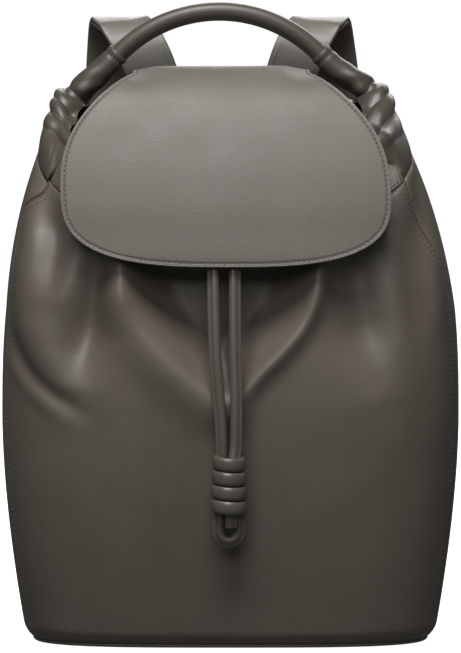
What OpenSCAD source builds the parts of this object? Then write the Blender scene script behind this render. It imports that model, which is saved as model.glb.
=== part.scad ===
// Soft leather drawstring backpack with a round-cornered flap, a rolled top handle and two shoulder straps.
// Millimetres. +Z is up, the front faces -Y, and the origin is the middle of the flat base.

/* [Body] */
// Half width of the bag at its widest
body_half_w = 159; // [150:1:170]
// Height of the widest section
widest_z = 155; // [130:1:180]
// How much narrower each side is at the base
base_pull_in = 17; // [10:1:22]
// How much narrower each side is at the shoulder of the bag
shoulder_pull_in = 53; // [40:1:60]
// Depth from the middle to the front at the base
front_depth = 70; // [60:1:80]
// Depth from the middle to the back at the base
back_depth = 66; // [60:1:75]
// Radius of the rounded edge round the base
base_round = 12; // [6:1:16]
// Sideways lean of the soft top, per mm of height
lean_slope = 0.038; // [0:0.002:0.05]

/* [Leather] */
// Thickness of the body leather
leather_t = 1.8; // [1.2:0.1:2.4]
// Thickness of the lining
lining_t = 0.8; // [0.5:0.1:1.2]
// Thickness of the base leather
base_t = 2.5; // [2:0.1:4]

/* [Flap] */
// Height of the flap's hinge line
hinge_z = 393; // [388:1:396]
// Distance of the hinge line behind the middle
hinge_y = 14; // [12:1:16]
// Half width of the flap along the top
flap_top_half_w = 60; // [50:1:64]
// Half width of the flap at its widest
flap_half_w = 113; // [100:1:118]
// Thickness of the flap leather and of its lining, each
flap_t = 1.7; // [1.2:0.1:2]

/* [Handle] */
// Diameter of the covered handle
handle_d = 11.6; // [10:0.2:13]
// Radius of the handle's arch
arch_r = 98; // [90:1:105]
// Half width between the two sleeve hems
hem_half_w = 70; // [66:1:74]
// Distance of the handle behind the middle
handle_y = 30; // [28:1:34]
// Outer diameter of the leather sleeves
sleeve_d = 16; // [14:0.5:18]

/* [Drawstring] */
// Diameter of the rolled leather cord
cord_d = 7; // [6:0.5:8]
// Number of turns in the coiled knot
knot_turns = 4; // [3:1:6]
// Height of one turn of the knot
turn_h = 9.9; // [8:0.1:11]

/* [Shoulder straps] */
// Width of a shoulder strap
strap_w = 36; // [30:1:40]
// Thickness of a shoulder strap
strap_t = 6; // [4:0.5:8]
// Width of the narrow lower strap
lower_strap_w = 20; // [16:1:22]

/* [Pocket] */
// Half width of the inside pocket
pocket_half_w = 68; // [50:1:70]
// Height of the pocket's zip
zip_z = 292; // [270:1:300]

/* [Hidden] */

hide_colour = "#4c473f";
edge_colour = "#7c776d";
lining_colour = "#8a8272";
metal_colour = "#b9b4a6";

shoulder_z = 385;
lining_gap = 5.4;
padding_gap = 2.7;
seam_angle = 24;
back_seam_angle = 40;
seam_gap_angle = 0.15;
front_seam_z = 302;
gusset_top_z = 332;
back_top_z = 391;
rim_z = 348;

// ---- Shape of the body: a rounded-rectangle section at every height ----

function lean(z) = -lean_slope * max(0, z - 230);
function base_edge(z) = z >= base_round ? 0 : base_round - sqrt(base_round^2 - (base_round - z)^2);
function half_width(z) = body_half_w - base_edge(z)
    - (z < widest_z ? base_pull_in * pow((widest_z - z) / widest_z, 1.7)
                    : shoulder_pull_in * pow((z - widest_z) / (shoulder_z - widest_z), 2.6));
function front_reach(z) = front_depth + 13 * sin(180 * min(1, z / 290)) - base_edge(z)
    - 28 * pow(max(0, (z - 250) / 100), 1.5);
function back_reach(z) = back_depth + 4 * sin(180 * min(1, z / 300)) - base_edge(z)
    - 24 * pow(max(0, (z - 290) / 101), 1.5);
function squareness(z) = 3.4 - 0.9 * z / shoulder_z;

// A point of the body's skin at angle a and height z, taken inwards by inset
function skin(a, z, inset = 0) =
    let (
        power = 2 / squareness(z),
        c = cos(a),
        s = sin(a),
        reach = s < 0 ? front_reach(z) : back_reach(z)
    )
    [lean(z) + (half_width(z) - inset) * sign(c) * pow(abs(c), power),
     (reach - inset) * sign(s) * pow(abs(s), power),
     z];

function steps(low, high, n) = [for (i = [0:n]) low + (high - low) * i / n];

// ---- Shapes shared by the parts ----

// A plate between two grids of points that have the same rows and columns
module plate(near, far) {
    rows = len(near);
    cols = len(near[0]);
    points = concat([for (r = near) each r], [for (r = far) each r]);
    n = rows * cols;
    function at(i, j) = i * cols + j;
    edge = concat(
        [for (j = [0:cols - 2]) [at(0, j), at(0, j + 1)]],
        [for (i = [0:rows - 2]) [at(i, cols - 1), at(i + 1, cols - 1)]],
        [for (j = [cols - 1:-1:1]) [at(rows - 1, j), at(rows - 1, j - 1)]],
        [for (i = [rows - 1:-1:1]) [at(i, 0), at(i - 1, 0)]]);
    near_faces = [for (i = [0:rows - 2], j = [0:cols - 2]) each [
        [at(i, j), at(i, j + 1), at(i + 1, j + 1)], [at(i, j), at(i + 1, j + 1), at(i + 1, j)]]];
    far_faces = [for (f = near_faces) [f[2] + n, f[1] + n, f[0] + n]];
    side_faces = [for (e = edge) each [[e[1], e[0], e[0] + n], [e[1], e[0] + n, e[1] + n]]];
    polyhedron(points, concat(near_faces, far_faces, side_faces), convexity = 8);
}

// A tube or bar through closed rings of points, capped at both ends
module swept(rings) {
    n = len(rings[0]);
    points = [for (r = rings) each r];
    last = (len(rings) - 1) * n;
    sides = [for (i = [0:len(rings) - 2], j = [0:n - 1]) let (k = (j + 1) % n) each [
        [i * n + j, (i + 1) * n + j, (i + 1) * n + k], [i * n + j, (i + 1) * n + k, i * n + k]]];
    caps = [[for (j = [0:n - 1]) j], [for (j = [n - 1:-1:0]) last + j]];
    polyhedron(points, concat(sides, caps), convexity = 8);
}

function unit(v) = v / norm(v);

// A smooth line through hand-picked points, with n steps in each stretch
function smooth(p, n) = concat(
    [for (i = [0:len(p) - 2], k = [0:n - 1])
        let (
            t = k / n,
            a = p[max(0, i - 1)],
            b = p[i],
            c = p[i + 1],
            d = p[min(len(p) - 1, i + 2)]
        )
        0.5 * (2 * b + (c - a) * t + (2 * a - 5 * b + 4 * c - d) * t^2 + (3 * b - a - 3 * c + d) * t^3)],
    [p[len(p) - 1]]);

function heading(p, i) = unit(p[min(len(p) - 1, i + 1)] - p[max(0, i - 1)]);

// Round rings of radius r along a line
function round_rings(line, r, sides) = [for (i = [0:len(line) - 1])
    let (
        t = heading(line, i),
        u = unit(cross(t, [0, 1, 0.01])),
        v = cross(t, u)
    )
    [for (k = [0:sides - 1]) line[i] + r * (cos(360 * k / sides) * u + sin(360 * k / sides) * v)]];

// Flat rings along a line: w wide along X, from low to high across the thickness
function flat_rings(line, w, low, high) = [for (i = [0:len(line) - 1])
    let (
        v = unit(cross([1, 0, 0], heading(line, i))),
        half = [w / 2, 0, 0]
    )
    [line[i] - half + v * low, line[i] + half + v * low,
     line[i] + half + v * high, line[i] - half + v * high]];

// A patch of the body's skin over a list of angles, from lows up to tops, with rows closer near the bottom
function skin_grid(angles, lows, tops, rows, inset, crowd) = [for (i = [0:rows])
    [for (j = [0:len(angles) - 1]) skin(angles[j], lows[j] + (tops[j] - lows[j]) * pow(i / rows, crowd), inset)]];

module skin_panel(angles, lows, tops, rows, inset, t, crowd = 1) {
    plate(skin_grid(angles, lows, tops, rows, inset + t, crowd), skin_grid(angles, lows, tops, rows, inset, crowd));
}

// ---- Heights of the seams, by angle round the body ----

function front_seam(a) = front_seam_z + 18 * pow(abs(cos(a)), 3);
function band_rim(a) = min(rim_z, front_seam(a) + 9 + 2.4 * max(0, min(abs(a), 180 - abs(a)) - seam_angle));
function gusset_seam(a) = gusset_top_z + 10 * max(0, sin(min(abs(a), 180 - abs(a)) - 2));
function back_rim(a) = gusset_top_z + 10 + (back_top_z - gusset_top_z - 10) * pow(sin(a), 3);
function level(angles, z) = [for (a = angles) z];
base_crowd = 1.6;

front_angles = steps(seam_gap_angle - 180 + seam_angle, -seam_angle - seam_gap_angle, 18);
back_angles = steps(back_seam_angle + seam_gap_angle, 180 - back_seam_angle - seam_gap_angle, 10);

// ---- Body ----

module front_panel() {
    color(hide_colour)
    skin_panel(front_angles, level(front_angles, base_t), [for (a = front_angles) front_seam(a)],
        14, 0, leather_t, base_crowd);
}

module back_panel() {
    color(hide_colour)
    skin_panel(back_angles, level(back_angles, base_t), [for (a = back_angles) back_rim(a)], 14, 0, leather_t,
        base_crowd);
}

module gusset(side) {
    right = steps(-seam_angle + seam_gap_angle, back_seam_angle - seam_gap_angle, 7);
    angles = side > 0 ? right : [for (i = [len(right) - 1:-1:0]) 180 - right[i]];
    tops = [for (a = angles) gusset_seam(side > 0 ? a : 180 - a)];
    color(hide_colour)
    skin_panel(angles, level(angles, base_t), tops, 14, 0, leather_t, base_crowd);
}

module base_outline(inset) {
    polygon([for (a = steps(0, 354, 59)) let (p = skin(a, base_t, inset)) [p.x, p.y]]);
}

module base_panel() {
    color(hide_colour)
    linear_extrude(base_t) base_outline(0);
}

module base_board() {
    board_t = 2;
    color("#3a3632")
    translate([0, 0, base_t + 0.05]) linear_extrude(board_t) base_outline(leather_t + 2);
}

module back_padding() {
    angles = [for (a = back_angles) if (a > 55 && a < 125) a];
    padding_t = 1.3;
    color("#2f2c29")
    skin_panel(angles, level(angles, 20), [for (a = angles) back_rim(a) - 26], 8, padding_gap, padding_t);
}

module lining() {
    sides = 36;
    floor_z = base_t + 2.4;
    rows = 9;
    angles = [for (j = [0:sides - 1]) -360 * j / sides];
    function lining_top(a) = front_seam_z + 14 + 54 * pow(max(0, sin(a)), 3);
    function floor_row(k, inset, z) = [for (a = angles)
        let (p = skin(a, base_round, inset)) [p.x * k, p.y * k, z]];
    function wall(inset, low) = [for (i = [0:rows]) [for (a = angles)
        skin(a, low + base_round + (lining_top(a) - low - base_round) * i / rows, inset)]];
    outer = concat([floor_row(0.06, lining_gap, floor_z), floor_row(0.96, lining_gap, floor_z)],
        wall(lining_gap, floor_z));
    inner = concat([floor_row(0.06, lining_gap, floor_z + lining_t),
        floor_row(0.955, lining_gap, floor_z + lining_t)], wall(lining_gap + lining_t, floor_z));
    color(lining_colour)
    swept(concat(outer, [for (i = [len(inner) - 1:-1:0]) inner[i]]));
}

// ---- Gathered mouth ----

band_angles = steps(-152, -28, 14);
channel_w = 7;

module at_eyelets() {
    for (side = [-1, 1])
        translate([lean(cord_exit_z) + side * cord_exit_x, 0, cord_exit_z]) rotate([90, 0, 0]) children();
}

module front_band() {
    lows = [for (a = band_angles) front_seam(a) + 0.3];
    color(hide_colour)
    difference() {
        skin_panel(band_angles, lows, [for (a = band_angles) band_rim(a)], 4, 0, leather_t);
        at_eyelets() cylinder(d = cord_d + 3, h = 80, $fn = 32);
    }
}

module channel_eyelets() {
    tilt = 22;
    reach = 50.1;
    color(metal_colour)
    at_eyelets() translate([0, -0.2, reach]) rotate([-tilt, 0, 0]) difference() {
        cylinder(d = cord_d + 9.4, h = 1.2, $fn = 48);
        translate([0, 0, -1]) cylinder(d = cord_d + 4, h = 4, $fn = 48);
    }
}

module band_facing() {
    angles = steps(-140, -40, 12);
    lows = [for (a = angles) front_seam(a) + 4];
    color(hide_colour)
    skin_panel(angles, lows, [for (a = angles) band_rim(a) - 2], 4, leather_t + channel_w, 1.2);
}

module channel_cords() {
    middle = leather_t + channel_w / 2;
    reach = [for (a = steps(-47, -83, 9)) skin(a, cord_exit_z, middle)];
    color(hide_colour) {
        swept(round_rings(reach, 2.6, 8));
        swept(round_rings([for (p = reach) [2 * lean(cord_exit_z) - p.x, p.y, p.z]], 2.6, 8));
    }
}

// The gathered leather between a gusset and its handle sleeve
module yoke(side) {
    front_a = -26;
    back_a = 36;
    cols = 8;
    rows = 4;
    neck = [102, handle_y, 372];
    neck_r = 10;
    function foot(u, inset) =
        let (a = front_a + (back_a - front_a) * u, p = skin(a, gusset_seam(a) + 0.4, inset))
        [p.x - lean(p.z), p.y, p.z];
    function collar(u, inset) =
        let (b = -100 + 200 * u) neck + (neck_r - inset) * [cos(b) * 0.7, sin(b), cos(b) * 0.7];
    function at(u, v, inset) =
        let (p = foot(u, inset) * (1 - v) + collar(u, inset) * v + [6 * sin(180 * v), 0, 0])
        [side * p.x + lean(p.z), p.y, p.z];
    function grid(inset) = [for (v = steps(0, 1, rows)) [for (u = side > 0 ? steps(0, 1, cols) : steps(1, 0, cols))
        at(u, v, inset)]];
    color(hide_colour)
    plate(grid(leather_t), grid(0));
}

// ---- Flap ----

flap_cols = 14;

// The flap's profile from the hinge forward over the mouth and down the front, as [y, z]
flap_profile = smooth([[hinge_y, hinge_z], [-4, 398], [-24, 396], [-46, 378], [-65, 343],
    [-77, 312], [-83.5, 288], [-87, 274], [-88, 267]], 3);
flap_crest_z = 398;
flap_hem_z = 267;
flap_widest_z = 316;

function flap_half(z, y) = y > -4 ? flap_top_half_w :
    z > flap_widest_z
        ? flap_half_w - (flap_half_w - flap_top_half_w)
            * pow((z - flap_widest_z) / (flap_crest_z - flap_widest_z), 2.2)
        : flap_half_w * pow(1 - pow((flap_widest_z - z) / (flap_widest_z - flap_hem_z + 1), 3), 1 / 3);

// A grid over the flap, moved along the profile's normal by rise
function flap_grid(rise, edge) = [for (i = [0:len(flap_profile) - 1])
    let (
        p = flap_profile[i],
        t = unit(flap_profile[min(len(flap_profile) - 1, i + 1)] - flap_profile[max(0, i - 1)]),
        y = p[0] + t[1] * rise,
        z = p[1] - t[0] * rise
    )
    [for (u = steps(-1, 1, flap_cols))
        [lean(p[1]) + u * (flap_half(p[1], p[0]) - edge), y + 5 * u^2 * max(0, (400 - z) / 133), z]]];

module flap_outer() {
    color(edge_colour)
    plate(flap_grid(0.1, 0), flap_grid(flap_t, 0));
}

module flap_lining() {
    color(lining_colour)
    plate(flap_grid(-flap_t, 1.5), flap_grid(0, 1.5));
}

snap_x = 46;
snap_z = 290;

snap_d = 18;

// Both halves of each snap face each other along a line that tilts up with the leather
module at_snaps(reach, tilt) {
    for (side = [-1, 1])
        translate([lean(snap_z) + side * snap_x, -reach, snap_z]) rotate([90 - tilt, 0, 0]) children();
}

module flap_snaps() {
    color(metal_colour)
    at_snaps(77.6, 16) {
        cylinder(d = snap_d, h = 2, $fn = 48);
        translate([0, 0, -2.4]) cylinder(d = 6, h = 2.6, $fn = 32);
    }
}

module panel_snaps() {
    color(metal_colour)
    at_snaps(63.4, 20) difference() {
        cylinder(d = snap_d, h = 2.6, $fn = 48);
        translate([0, 0, 0.6]) cylinder(d = 7, h = 3, $fn = 32);
    }
}

// The strip that joins the flap to the top of the back, with clearance for the flap's end to turn
module flap_anchor() {
    half = flap_top_half_w;
    gap = 2.3;
    color(hide_colour)
    translate([lean(hinge_z), 0, 0]) rotate([90, 0, 90]) translate([0, 0, -half])
        linear_extrude(2 * half) polygon([[hinge_y + gap, hinge_z - 1.2], [38, back_top_z + 0.8],
            [43.4, back_top_z + 0.2], [45, back_top_z - 3], [48, 377], [49.6, 377], [46.6, back_top_z - 2],
            [44.2, back_top_z + 2.2], [38, back_top_z + 2.8], [hinge_y + gap, hinge_z + 1.2]]);
}

// ---- Handle ----

arch_top_z = 435;
arch_centre_z = arch_top_z - arch_r;
hem_angle = asin(hem_half_w / arch_r);
hidden_angle = 3.4;
bar_angle = hem_angle + hidden_angle;

module handle_place() {
    translate([lean(arch_top_z), handle_y, arch_centre_z]) children();
}

// The arch of the handle, running a little way into both sleeves
module arch() {
    rotate([90, 0, 0]) rotate([0, 0, 90 - bar_angle])
        rotate_extrude(angle = 2 * bar_angle, $fn = 180) translate([arch_r, 0]) children();
}

module handle_core() {
    color("#c9bfa8")
    handle_place() arch() circle(d = handle_d - 3, $fn = 32);
}

module handle_cover() {
    color(hide_colour)
    handle_place() arch() difference() {
        circle(d = handle_d, $fn = 32);
        circle(d = handle_d - 2.9, $fn = 32);
    }
}

// A stitched sleeve: packed solid, with a socket at its hem that the handle's end sits in
module sleeve(side) {
    length = 38;
    socket = 8;
    color(hide_colour)
    handle_place() rotate([0, side * hem_angle, 0]) translate([0, 0, arch_r]) rotate([0, side * 90, 0])
        difference() {
            cylinder(d = sleeve_d, h = length, $fn = 48);
            translate([0, 0, -1]) cylinder(d = handle_d + 0.6, h = socket + 1, $fn = 48);
        }
}

// ---- Drawstring ----

cord_exit_x = 8;
cord_exit_z = 332;
knot_x = -1;
knot_y = -96.5;
knot_bottom_z = 98;
knot_bore_r = 8.8;
knot_h = knot_turns * turn_h;

// The left cord drops from the band, passes through the knot, loops round and ends inside the knot
left_route = [[-12, -45, 332], [-12, -52, 332], [-12, -59.5, 325], [-12, -67, 304], [-11.5, -76, 282],
    [-11, -82, 262], [-10.5, -87, 235], [-9.5, -91, 205], [-7.5, -93, 180], [-5.6, -94, 158], [-5, -94.3, 142],
    [-5, -94.3, 125], [-5, -94.3, 108], [-5.6, -94.5, 98], [-7.2, -94.8, 91], [-7.4, -95, 85],
    [-5.4, -95.2, 80.4], [-1, -95.3, 78.6], [3.4, -95.2, 80.4], [5.4, -95, 85], [5.2, -94.8, 91],
    [3.6, -94.5, 98], [3, -94.2, 108], [3, -94.2, 124]];

// The right cord drops beside it, comes to the front inside the knot and ends in the loop
right_route = [[4, -45, 332], [4, -52, 332], [4, -59.5, 325], [3.5, -67, 304], [2.8, -76, 282],
    [2, -82, 262], [2, -87, 235], [2.4, -91.5, 205], [3, -95, 180], [3, -97, 160], [2.6, -98, 144],
    [1, -100, 132], [0, -101, 120], [-0.5, -101, 104], [-0.5, -100.6, 88]];

module cord(route) {
    color(hide_colour)
    swept(round_rings(smooth(route, 2), cord_d / 2, 8));
}

module coiled_knot() {
    top_r = 10.9;
    bottom_r = 12.2;
    color(hide_colour)
    translate([knot_x, knot_y, knot_bottom_z]) rotate_extrude($fn = 96) union() {
        for (k = [0:knot_turns - 1])
            let (r = bottom_r - (bottom_r - top_r) * k / (knot_turns - 1))
            translate([knot_bore_r, k * turn_h]) polygon([[0, 0], [r - knot_bore_r - 1.2, 0],
                [r - knot_bore_r, 2], [r - knot_bore_r, turn_h - 2], [r - knot_bore_r - 1.2, turn_h],
                [0, turn_h]]);
    }
}

// ---- Shoulder straps ----

// The middle of a shoulder strap: its sewn root behind the bag, then the padded length that bows out and down
root_route = [[46, 53, 367], [47, 53, 382], [52, 54, 398], [58, 58, 412], [64, 65.5, 421], [67.2, 72, 423.4],
    [69, 76.8, 424]];
strap_route = [[69, 78.3, 424], [69.6, 82, 423.4], [71, 89, 419], [73, 97, 408], [76, 104, 388], [79, 109, 360],
    [83, 113, 320], [87, 115, 280], [91, 114, 240], [94, 110, 200]];
buckle_z = 190;
buckle_place = [95, 108.6, buckle_z];

function mirrored(route, side) = [for (p = route) [side * p.x + lean(p.z), p.y, p.z]];

module strap_root(side) {
    color(hide_colour)
    swept(flat_rings(smooth(mirrored(root_route, side), 2), strap_w, -strap_t / 2, strap_t / 2));
}

module strap(side, low, high, trim) {
    swept(flat_rings(smooth(mirrored(strap_route, side), 2), strap_w - trim, low, high));
}

module strap_outer(side) {
    color(edge_colour) strap(side, 0.15, strap_t / 2, 0);
}

module strap_lining(side) {
    color(hide_colour) strap(side, -strap_t / 2, -0.15, 0.6);
}

module strap_patch() {
    angles = steps(58, 122, 12);
    color(hide_colour)
    skin_panel(angles, level(angles, 343), level(angles, 366), 4, -2.4, 1.9);
}

module buckle_at(side) {
    translate([side * buckle_place.x + lean(buckle_z), buckle_place.y, buckle_place.z]) children();
}

wire = 3;
frame_h = 22;
frame_w = lower_strap_w + 7;
clip_w = lower_strap_w + 1;

module buckle(side) {
    color(metal_colour)
    buckle_at(side) {
        for (z = [0, -frame_h])
            translate([-frame_w / 2, 0, z]) rotate([0, 90, 0]) cylinder(d = wire, h = frame_w, $fn = 24);
        for (x = [-frame_w / 2, frame_w / 2])
            translate([x, 0, -frame_h]) cylinder(d = wire, h = frame_h, $fn = 24);
    }
}

module prong(side) {
    root_clear = 0.05;
    color(metal_colour)
    buckle_at(side) {
        difference() {
            translate([-1.2, 0, 0]) rotate([0, 90, 0]) cylinder(d = wire + 2.4, h = 2.4, $fn = 32);
            translate([-2, 0, 0]) rotate([0, 90, 0]) cylinder(d = wire + 2 * root_clear, h = 4, $fn = 32);
        }
        translate([-1.1, wire / 2 + 0.3, -frame_h - 1.4]) cube([2.2, 1.4, frame_h]);
    }
}

// The narrow strap from the base corner up to the buckle
module lower_strap(side) {
    route = [[104, 68.2, 40], [103.5, 76, 62], [102, 88, 96], [98.5, 99, 135], [96, 105, 160]];
    color(edge_colour)
    swept(flat_rings(smooth(mirrored(route, side), 3), lower_strap_w, -1.3, 1.3));
}

module strap_tab(side) {
    span = steps(47, 62, 5);
    angles = side > 0 ? span : [for (i = [len(span) - 1:-1:0]) 180 - span[i]];
    lows = [for (a = angles) 12 + 8 * abs(abs(a - 90) - 35.5) / 7.5];
    color(hide_colour)
    skin_panel(angles, lows, level(angles, 38), 4, -2.8, 2.3);
}

// ---- Inside pocket ----

pocket_y = 53;
zip_w = 2 * pocket_half_w - 12;
slider_w = 6;

module pocket_panel() {
    color(lining_colour)
    translate([-pocket_half_w, pocket_y, zip_z - 110]) cube([2 * pocket_half_w, 1, 104]);
}

module zip_tape() {
    slot_h = 3.6;
    color("#37332e")
    translate([-pocket_half_w, pocket_y, zip_z - 6]) difference() {
        cube([2 * pocket_half_w, 1, 16]);
        translate([6, -1, 6 - slot_h / 2]) cube([zip_w, 3, slot_h]);
    }
}

module zip_teeth() {
    pitch = 4;
    color(metal_colour)
    for (k = [0:floor(zip_w / pitch) - 1], row = [-1, 1])
        translate([-zip_w / 2 + pitch * (k + 0.5) - 1, pocket_y - 0.1, zip_z + row * 1.1 - 0.6])
            cube([2, 1.2, 1.2]);
}

module zip_slider() {
    color(metal_colour)
    translate([-zip_w / 2 + 2, pocket_y - 2.2, zip_z - 3]) {
        cube([slider_w + 2, 1.6, slider_w]);
        translate([4, 0.2, 3]) rotate([90, 0, 0]) cylinder(d = 3, h = 3.6, $fn = 32);
        translate([4, -3.4, 3]) rotate([90, 0, 0]) cylinder(d = 5, h = 0.8, $fn = 32);
    }
}

module zip_pull() {
    color(metal_colour)
    translate([-zip_w / 2 + 6, pocket_y - 4.6, zip_z]) rotate([90, 0, 0]) difference() {
        union() {
            translate([0, 0, -0.6]) cylinder(d = 7, h = 1.2, $fn = 32);
            translate([-2.5, -20, -0.6]) cube([5, 18, 1.2]);
            translate([0, -20, -0.6]) cylinder(d = 5, h = 1.2, $fn = 32);
        }
        translate([0, 0, -1]) cylinder(d = 3.4, h = 2, $fn = 32);
    }
}

// ---- Assembly ----

front_panel();
back_panel();
gusset(-1);  // left_gusset
gusset(1);  // right_gusset
base_panel();
base_board();
back_padding();
lining();
front_band();
band_facing();
channel_cords();
channel_eyelets();
yoke(-1);  // left_yoke
yoke(1);  // right_yoke
flap_anchor();
strap_patch();
panel_snaps();
pocket_panel();
zip_tape();
zip_teeth();
zip_slider();
zip_pull();
flap_outer();
flap_lining();
flap_snaps();
handle_cover();
handle_core();
sleeve(-1);  // left_sleeve
sleeve(1);  // right_sleeve
cord(left_route);  // left_cord
cord(right_route);  // right_cord
coiled_knot();
strap_root(-1);  // left_strap_root
strap_root(1);  // right_strap_root
strap_outer(-1);  // left_strap
strap_outer(1);  // right_strap
strap_lining(-1);  // left_strap_lining
strap_lining(1);  // right_strap_lining
buckle(-1);  // left_buckle
buckle(1);  // right_buckle
prong(-1);  // left_prong
prong(1);  // right_prong
lower_strap(-1);  // left_lower_strap
lower_strap(1);  // right_lower_strap
strap_tab(-1);  // left_strap_tab
strap_tab(1);  // right_strap_tab
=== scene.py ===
"""Looks of the soft leather backpack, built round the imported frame.

Lengths in the shape functions are millimetres, in the frame's own axes: +X right, -Y front, +Z up.
"""
import math

import bmesh
import bpy
import numpy as np
from mathutils import Matrix, Vector


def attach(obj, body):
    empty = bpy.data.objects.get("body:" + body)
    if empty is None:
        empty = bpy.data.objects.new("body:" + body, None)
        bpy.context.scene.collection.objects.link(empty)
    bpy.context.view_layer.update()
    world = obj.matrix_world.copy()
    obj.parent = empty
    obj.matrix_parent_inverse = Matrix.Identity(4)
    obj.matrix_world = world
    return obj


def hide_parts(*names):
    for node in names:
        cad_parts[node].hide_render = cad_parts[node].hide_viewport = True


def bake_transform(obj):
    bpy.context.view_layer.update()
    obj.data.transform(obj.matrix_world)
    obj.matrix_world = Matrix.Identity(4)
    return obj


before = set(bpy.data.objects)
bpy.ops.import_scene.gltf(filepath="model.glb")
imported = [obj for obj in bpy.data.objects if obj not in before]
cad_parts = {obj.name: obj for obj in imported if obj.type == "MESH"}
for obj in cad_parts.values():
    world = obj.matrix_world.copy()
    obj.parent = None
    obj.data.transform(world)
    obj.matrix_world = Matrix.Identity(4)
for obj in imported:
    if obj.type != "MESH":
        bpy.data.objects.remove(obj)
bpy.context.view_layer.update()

# A millimetre, in the scene's metres
MM = 0.001
# Points nearer than this are one point, in metres
WELD = 1e-7
SIDES = ((-1, "left"), (1, "right"))
EDGES = ((-1, "inner_edge"), (1, "outer_edge"))
# Thickness of the body's leather
WALL_T = 1.7
Y_AXIS = np.array([0.0, 1, 0])


# ---- Small helpers for shapes ----

def smoothstep(low, high, x):
    t = np.clip((np.asarray(x, float) - low) / (high - low), 0, 1)
    return t * t * (3 - 2 * t)


def hill(x, centre, width):
    """A soft bump of height 1 at centre."""
    return np.exp(-((np.asarray(x, float) - centre) / width) ** 2)


def unit(v):
    v = np.asarray(v, float)
    return v / np.maximum(np.linalg.norm(v, axis=-1, keepdims=True), 1e-9)


def smooth(points, steps):
    """A smooth line through listed points, with the given number of steps in each stretch."""
    p = np.asarray(points, float)
    line = []
    for i in range(len(p) - 1):
        a, b, c, d = p[max(0, i - 1)], p[i], p[i + 1], p[min(len(p) - 1, i + 2)]
        for k in range(steps):
            t = k / steps
            line.append(0.5 * (2 * b + (c - a) * t + (2 * a - 5 * b + 4 * c - d) * t ** 2
                               + (3 * b - a - 3 * c + d) * t ** 3))
    return np.array(line + [p[-1]])


def lengths(line):
    """Distance travelled at each point of a line."""
    steps = np.linalg.norm(np.diff(line, axis=0), axis=1)
    return np.concatenate([[0], np.cumsum(steps)])


def even(line, spacing):
    """The same line with points a steady spacing apart."""
    run = lengths(line)
    marks = np.linspace(0, run[-1], max(2, int(round(run[-1] / spacing)) + 1))
    return np.stack([np.interp(marks, run, line[:, k]) for k in range(line.shape[1])], axis=1)


def squared(wave, power):
    """A sine or cosine pushed out towards 1 and -1, which makes a circle's outline squarer."""
    return np.sign(wave) * np.abs(wave) ** power


def surface_normals(points):
    """Outward normals of a grid of points whose columns run right and rows up, seen from outside."""
    along = np.gradient(points, axis=1)
    up = np.gradient(points, axis=0)
    return unit(np.cross(along, up))


def speckle(x, z, scale, seed):
    """Slow, repeatable unevenness between -1 and 1: crossed waves, each turned and a little shorter."""
    waves, turned, shorter, shifted = 5, 2.4, 0.23, 1.7
    total = np.zeros_like(np.asarray(x, float))
    for k in range(waves):
        angle = turned * k + seed
        wave = np.cos(angle) * x + np.sin(angle) * z
        total += np.sin(wave / scale * (1 + shorter * k) + shifted * k + seed)
    return total / waves


# ---- Mesh helpers ----

def new_piece(bm, name, material, body=None, stands_for=()):
    for face in bm.faces:
        face.smooth = True
    mesh = bpy.data.meshes.new(name)
    bm.to_mesh(mesh)
    bm.free()
    mesh.materials.append(material)
    piece = bpy.data.objects.new(name, mesh)
    bpy.context.scene.collection.objects.link(piece)
    if body:
        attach(piece, body)
    if stands_for:
        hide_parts(*stands_for)
    return piece


def grid(points, around=False, capped=False):
    """A mesh of a grid of points, in rows and columns; around closes each row into a ring."""
    rows, columns = points.shape[0] - 1, points.shape[1] - 1
    bm = bmesh.new()
    bmesh.ops.create_grid(bm, x_segments=columns, y_segments=rows, size=0.5)
    for v in bm.verts:
        i = round((v.co.x + 0.5) * columns)
        j = round((v.co.y + 0.5) * rows)
        v.co = Vector(points[j, i]) * MM
    if around:
        edge = [v for v in bm.verts if v.is_boundary]
        bmesh.ops.remove_doubles(bm, verts=edge, dist=WELD)
    if capped:
        bmesh.ops.holes_fill(bm, edges=[e for e in bm.edges if e.is_boundary], sides=0)
        bmesh.ops.recalc_face_normals(bm, faces=bm.faces)
    return bm


def thicken(piece, thickness):
    """Gives a sheet its thickness, inwards from its outer face."""
    wall = piece.modifiers.new("leather thickness", "SOLIDIFY")
    wall.thickness = thickness * MM
    wall.offset = -1
    return piece


def add_sheet(points, name, material, stands_for=(), thickness=WALL_T, body="bag"):
    """A sheet of leather whose outer face is a grid of points."""
    return thicken(new_piece(grid(points), name, material, body, stands_for), thickness)


def run_frames(line, outward):
    """Heading, outward and sideways directions along a line; outward may differ from point to point."""
    heading = unit(np.gradient(line, axis=0))
    outward = np.broadcast_to(np.asarray(outward, float), line.shape)
    outward = unit(outward - heading * np.sum(outward * heading, axis=1, keepdims=True))
    return heading, outward, np.cross(heading, outward)


def sweep(line, outward, section, scale=None):
    """A closed bar along a line: section is a ring of (outward, sideways) offsets, and scale grows it."""
    _, out, side = run_frames(line, outward)
    ring = np.vstack([section, section[:1]])
    scale = np.ones(len(line)) if scale is None else scale
    offsets = out[:, None, :] * ring[None, :, :1] + side[:, None, :] * ring[None, :, 1:]
    return grid(line[:, None, :] + scale[:, None, None] * offsets, around=True, capped=True)


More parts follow.
